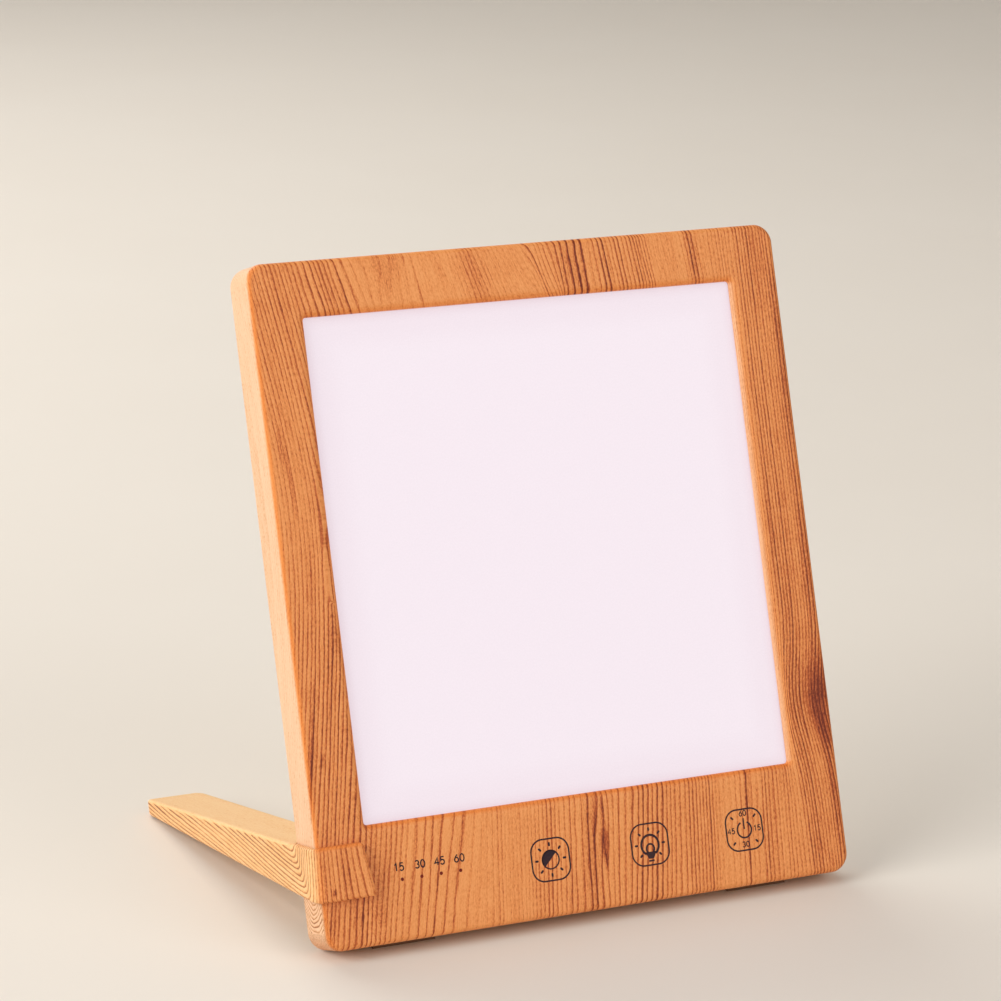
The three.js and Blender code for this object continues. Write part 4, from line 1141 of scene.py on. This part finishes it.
# The same, square to the leg's underside, which the head is flush with.
def legRecess(low, high):
    depths, x = np.array(stand["screwDepths"]), stand["screwMiddle"]
    depth = depths[np.argmin(np.abs(depths + (low + high)[2] / 2))]
    out, deep = -recess["out"], recess["deep"]
    cutters = []
    for long, wide in recess["arms"]:
        corners = ((-long, out), (long, out), (long, deep), (-long, deep))
        cutters.append(wedge("recess", [legPlace(depth, u, v) for u, v in corners], x - wide, x + wide))
    return cutters


# The screws' own solids with a crossed recess cut into their heads.
for start, makeCutters, body in (("cover_screw", backRecess, "lamp"), ("stand_screw", legRecess, "stand")):
    for nodeName in [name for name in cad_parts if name.startswith(start)]:
        first, *words = nodeName.split("_")
        screw = mergedCopy(first + "".join(word.title() for word in words), nodeName)
        screwPlaces = pointsOf(screw)
        carve(screw, makeCutters(screwPlaces.min(0), screwPlaces.max(0)), sharp=30)
        dress(screw, looks["zincSteel"], body, "steel", nodeName)


# What the frame's solid has inside its walls: posts, ribs and the cradle.
def framePosts():
    piece = mergedCopy("framePosts", "front_frame")
    wall, gap = panel["wall"], 0.02
    side, low, high = halfX - wall - gap, wall + gap, panel["height"] - wall - gap
    outline = roundBox(-side, side, low, high, panel["corner"] - wall, (8, 8, 8))
    inside = loft("inside", [atHeight(outline, z) for z in (-panel["depth"] - 1, -panel["front"] - gap)])
    carve(piece, [inside], "INTERSECT", 30)
    dress(piece, looks["coverPlastic"], "lamp", "wood_print", "front_frame")


framePosts()
print("screws made")

# Thickness of the ink, how far it is sunk, and widths of its lines
ink = {"thick": 0.05, "sunk": 0.02, "line": 0.58, "digit": 0.48}
inkLow, inkTop = -ink["sunk"], ink["thick"] - ink["sunk"]


# Puts several closed meshes into one piece.
def joinPieces(name, pieces):
    points, faces, start = [], [], 0
    for made in pieces:
        points.append(pointsOf(made))
        faces += [tuple(start + corner for corner in face.vertices) for face in made.data.polygons]
        start += len(points[-1])
        bpy.data.objects.remove(made)
    return makePiece(name, np.concatenate(points), faces, 40)


# A line of ink: a path's points moved to both sides by half the width, along the mean normal there.
def ribbon(path, width, closed=False):
    path = np.asarray(path, float)
    ahead = np.roll(path, -1, 0) - path
    behind = path - np.roll(path, 1, 0)
    if not closed:
        ahead[-1], behind[0] = behind[-1], ahead[0]
    steps = [step / np.linalg.norm(step, axis=1)[:, None] for step in (behind, ahead)]
    normals = [np.column_stack((-step[:, 1], step[:, 0])) for step in steps]
    mean = normals[0] + normals[1]
    mean /= np.maximum((mean * normals[0]).sum(1), 0.35)[:, None]  # never past 3 widths at a sharp turn
    left, right = path + mean * width / 2, path - mean * width / 2
    edges = ((left, inkTop), (right, inkTop), (right, inkLow), (left, inkLow))
    return loft("mark", np.stack([atHeight(side, z) for side, z in edges], 1), 40, joined=closed)


# A flat filled shape of ink inside a convex outline.
def patch(outline):
    return loft("mark", [atHeight(outline, z) for z in (inkLow, inkTop)], 40)


# Points of an ellipse about a middle, from one angle in degrees to another.
def arc(x, y, radiusX, radiusY, start, end, steps=24):
    angle = np.radians(np.linspace(start, end, steps))
    return np.stack((x + radiusX * np.cos(angle), y + radiusY * np.sin(angle)), -1)


# Strokes of each figure in a box 1 high: a list of points, closed or not
threeBows = arc(0.3, 0.75, 0.25, 0.25, 155, -85, 14), arc(0.3, 0.26, 0.29, 0.26, 80, -155, 16)
fiveHook = ((0.55, 1.0), (0.12, 1.0), (0.07, 0.55)), arc(0.28, 0.32, 0.29, 0.32, 115, -150, 16)
figures = {
    "0": ((arc(0.3, 0.5, 0.3, 0.5, 0, 345), True),),
    "1": ((((0.12, 0.76), (0.36, 1.0), (0.36, 0.0)), False),),
    "3": ((np.vstack(threeBows), False),),
    "4": ((((0.44, 0.0), (0.44, 1.0), (0.0, 0.3), (0.62, 0.3)), False),),
    "5": ((np.vstack(fiveHook), False),),
    "6": ((arc(0.3, 0.31, 0.29, 0.31, 0, 345), True), (((0.48, 1.0), (0.24, 0.76), (0.06, 0.46)), False)),
}
lettering = {"pitch": 0.84, "side": 0.1, "wide": 0.98}  # shares of a figure's height


# Figures side by side, centred on a place, drawn with lines of one width.
def number(text, x, y, height, width):
    pitch = lettering["pitch"] * height
    start = x - pitch * len(text) / 2 + lettering["side"] * height
    made = []
    for index, digit in enumerate(text):
        for stroke, closed in figures[digit]:
            place = stroke * np.array((height * lettering["wide"], height))
            made.append(ribbon(place + (start + index * pitch, y - height / 2), width, closed))
    return made


# A short dash with round ends that points away from a place.
def tick(x, y, degrees, inner, outer, width):
    direction = np.array((math.cos(math.radians(degrees)), math.sin(math.radians(degrees))))
    outline = []
    for reach, turn in ((inner + width / 2, 90), (outer - width / 2, -90)):
        end = np.array((x, y)) + direction * reach
        outline.append(arc(*end, width / 2, width / 2, degrees + turn, degrees + turn + 180, 7))
    return patch(np.concatenate(outline))


# Marks are measured from their key's middle, at x. Arcs: place, radii, angles, points. Lines end with their
# width and whether they are closed. Dashes: angles, from, to, width
keys = {"y": 20.5, "half": 7.45, "corner": 4.6, "minutes": (1.9, 0.36)}
marks = {
    # a disc drawn as a ring with one half filled
    "brightness": {
        "x": -15.8,
        "lines": ((arc(0, 0, 3.3, 3.3, 0, 352, 45), 0.55, True),),
        "fills": (arc(0, 0, 3.4, 3.4, 45, 225, 28),),
        "dashes": (range(0, 360, 45), 4.75, 6.25, 0.78),
    },
    # a bulb's globe and loop, its neck and cap
    "light": {
        "x": 24.1,
        "lines": (
            (arc(0, -0.3, 3.5, 3.65, -58, 238, 44), 0.85),
            (arc(0, -1.6, 1.55, 1.7, -50, 230, 30), 0.7),
        ),
        "fills": (
            ((-0.95, -5.2), (0.95, -5.2), (2.3, -2.7), (-2.3, -2.7)),
            ((-1.1, -6.25), (1.1, -6.25), (1.1, -5.6), (-1.1, -5.6)),
        ),
        "dashes": (range(-45, 226, 45), 4.75, 6.15, 0.76),
    },
    # a power sign among the minutes
    "timer": {
        "x": 63.0,
        "lines": ((arc(0, 0, 2.9, 2.9, 116, 424, 44), 0.62), (((0, 0.2), (0, 2.2), (0, 4.2)), 0.55)),
        "minutes": {"60": (0, 6.0), "15": (5.35, 0), "30": (0, -5.3), "45": (-5.35, 0)},
        "dashes": (range(45, 360, 90), 5.8, 7.3, 0.74),
    },
}


# A key's border and mark, each part moved to the key's middle.
def drawKey(mark):
    x, y, half = mark["x"], keys["y"], keys["half"]
    border = roundBox(x - half, x + half, y - half, y + half, keys["corner"], (8, 8, 12))
    made = [ribbon(border, ink["line"], True)]
    made += [ribbon(np.add(path, (x, y)), *rest) for path, *rest in mark["lines"]]
    made += [patch(np.add(outline, (x, y))) for outline in mark.get("fills", ())]
    for text, (right, up) in mark.get("minutes", {}).items():
        made += number(text, x + right, y + up, *keys["minutes"])
    angles, *size = mark["dashes"]
    return made + [tick(x, y, angle, *size) for angle in angles]


for keyName, mark in marks.items():
    dress(joinPieces(keyName + "KeyPrint", drawKey(mark)), looks["ink"], "lamp", "black_plastic")
# Height and size of the minutes, and how far each stands left of its light
minutes = {"y": 26.0, "height": 2.6, "left": {"15": 0.8, "30": 0.2, "45": 0.1, "60": 0.0}}
for (text, left), lightX in zip(minutes["left"].items(), holes["lightXs"]):
    made = number(text, lightX - left, minutes["y"], minutes["height"], ink["digit"])
    dress(joinPieces("minutes" + text, made), looks["ink"], "lamp", "black_plastic")
print("marks printed")

# The floor, in metres
dish = {
    "rings": (0.02, 0.3, 1.0, 2.0, 3.0),
    "bend": 1.6,
    "bendSteps": 13,
    "wall": (4.62, 3.0),
    "sides": 96,
    "shades": ((226, 219, 209), (229, 223, 214)),
    "grain": 6.0,
    "rough": 0.7,
}


# A wide dish: flat to its last ring, then rising as a quarter circle to a wall.
def makeFloor():
    rings, (wallRadius, wallHigh) = dish["rings"], dish["wall"]
    turn = np.linspace(0, math.pi / 2, dish["bendSteps"])[1:]
    radii = (*rings, *(rings[-1] + dish["bend"] * np.sin(turn)), wallRadius)
    heights = (*np.zeros(len(rings)), *(dish["bend"] * (1 - np.cos(turn))), wallHigh)
    points = np.stack([atHeight(circle(dish["sides"]) * radius, up) for radius, up in zip(radii, heights)])
    mesh = bpy.data.meshes.new("floor")
    faces = gridFaces(len(radii), dish["sides"]) + [list(range(dish["sides"]))[::-1]]
    mesh.from_pydata(points.reshape(-1, 3).tolist(), [], faces)
    mesh.shade_smooth()
    return newObject("floor", mesh)


floorSheet = nodeSheet("paleFloor")
floorNoise = floorSheet.noise(floorSheet.objectPlace(), dish["grain"], 3.0)
floorShade = floorSheet.mix(floorNoise, *map(colour, dish["shades"]))
floorSheet.finish(Base_Color=floorShade, Roughness=dish["rough"])
floor = makeFloor()
floor.data.materials.append(floorSheet.material)
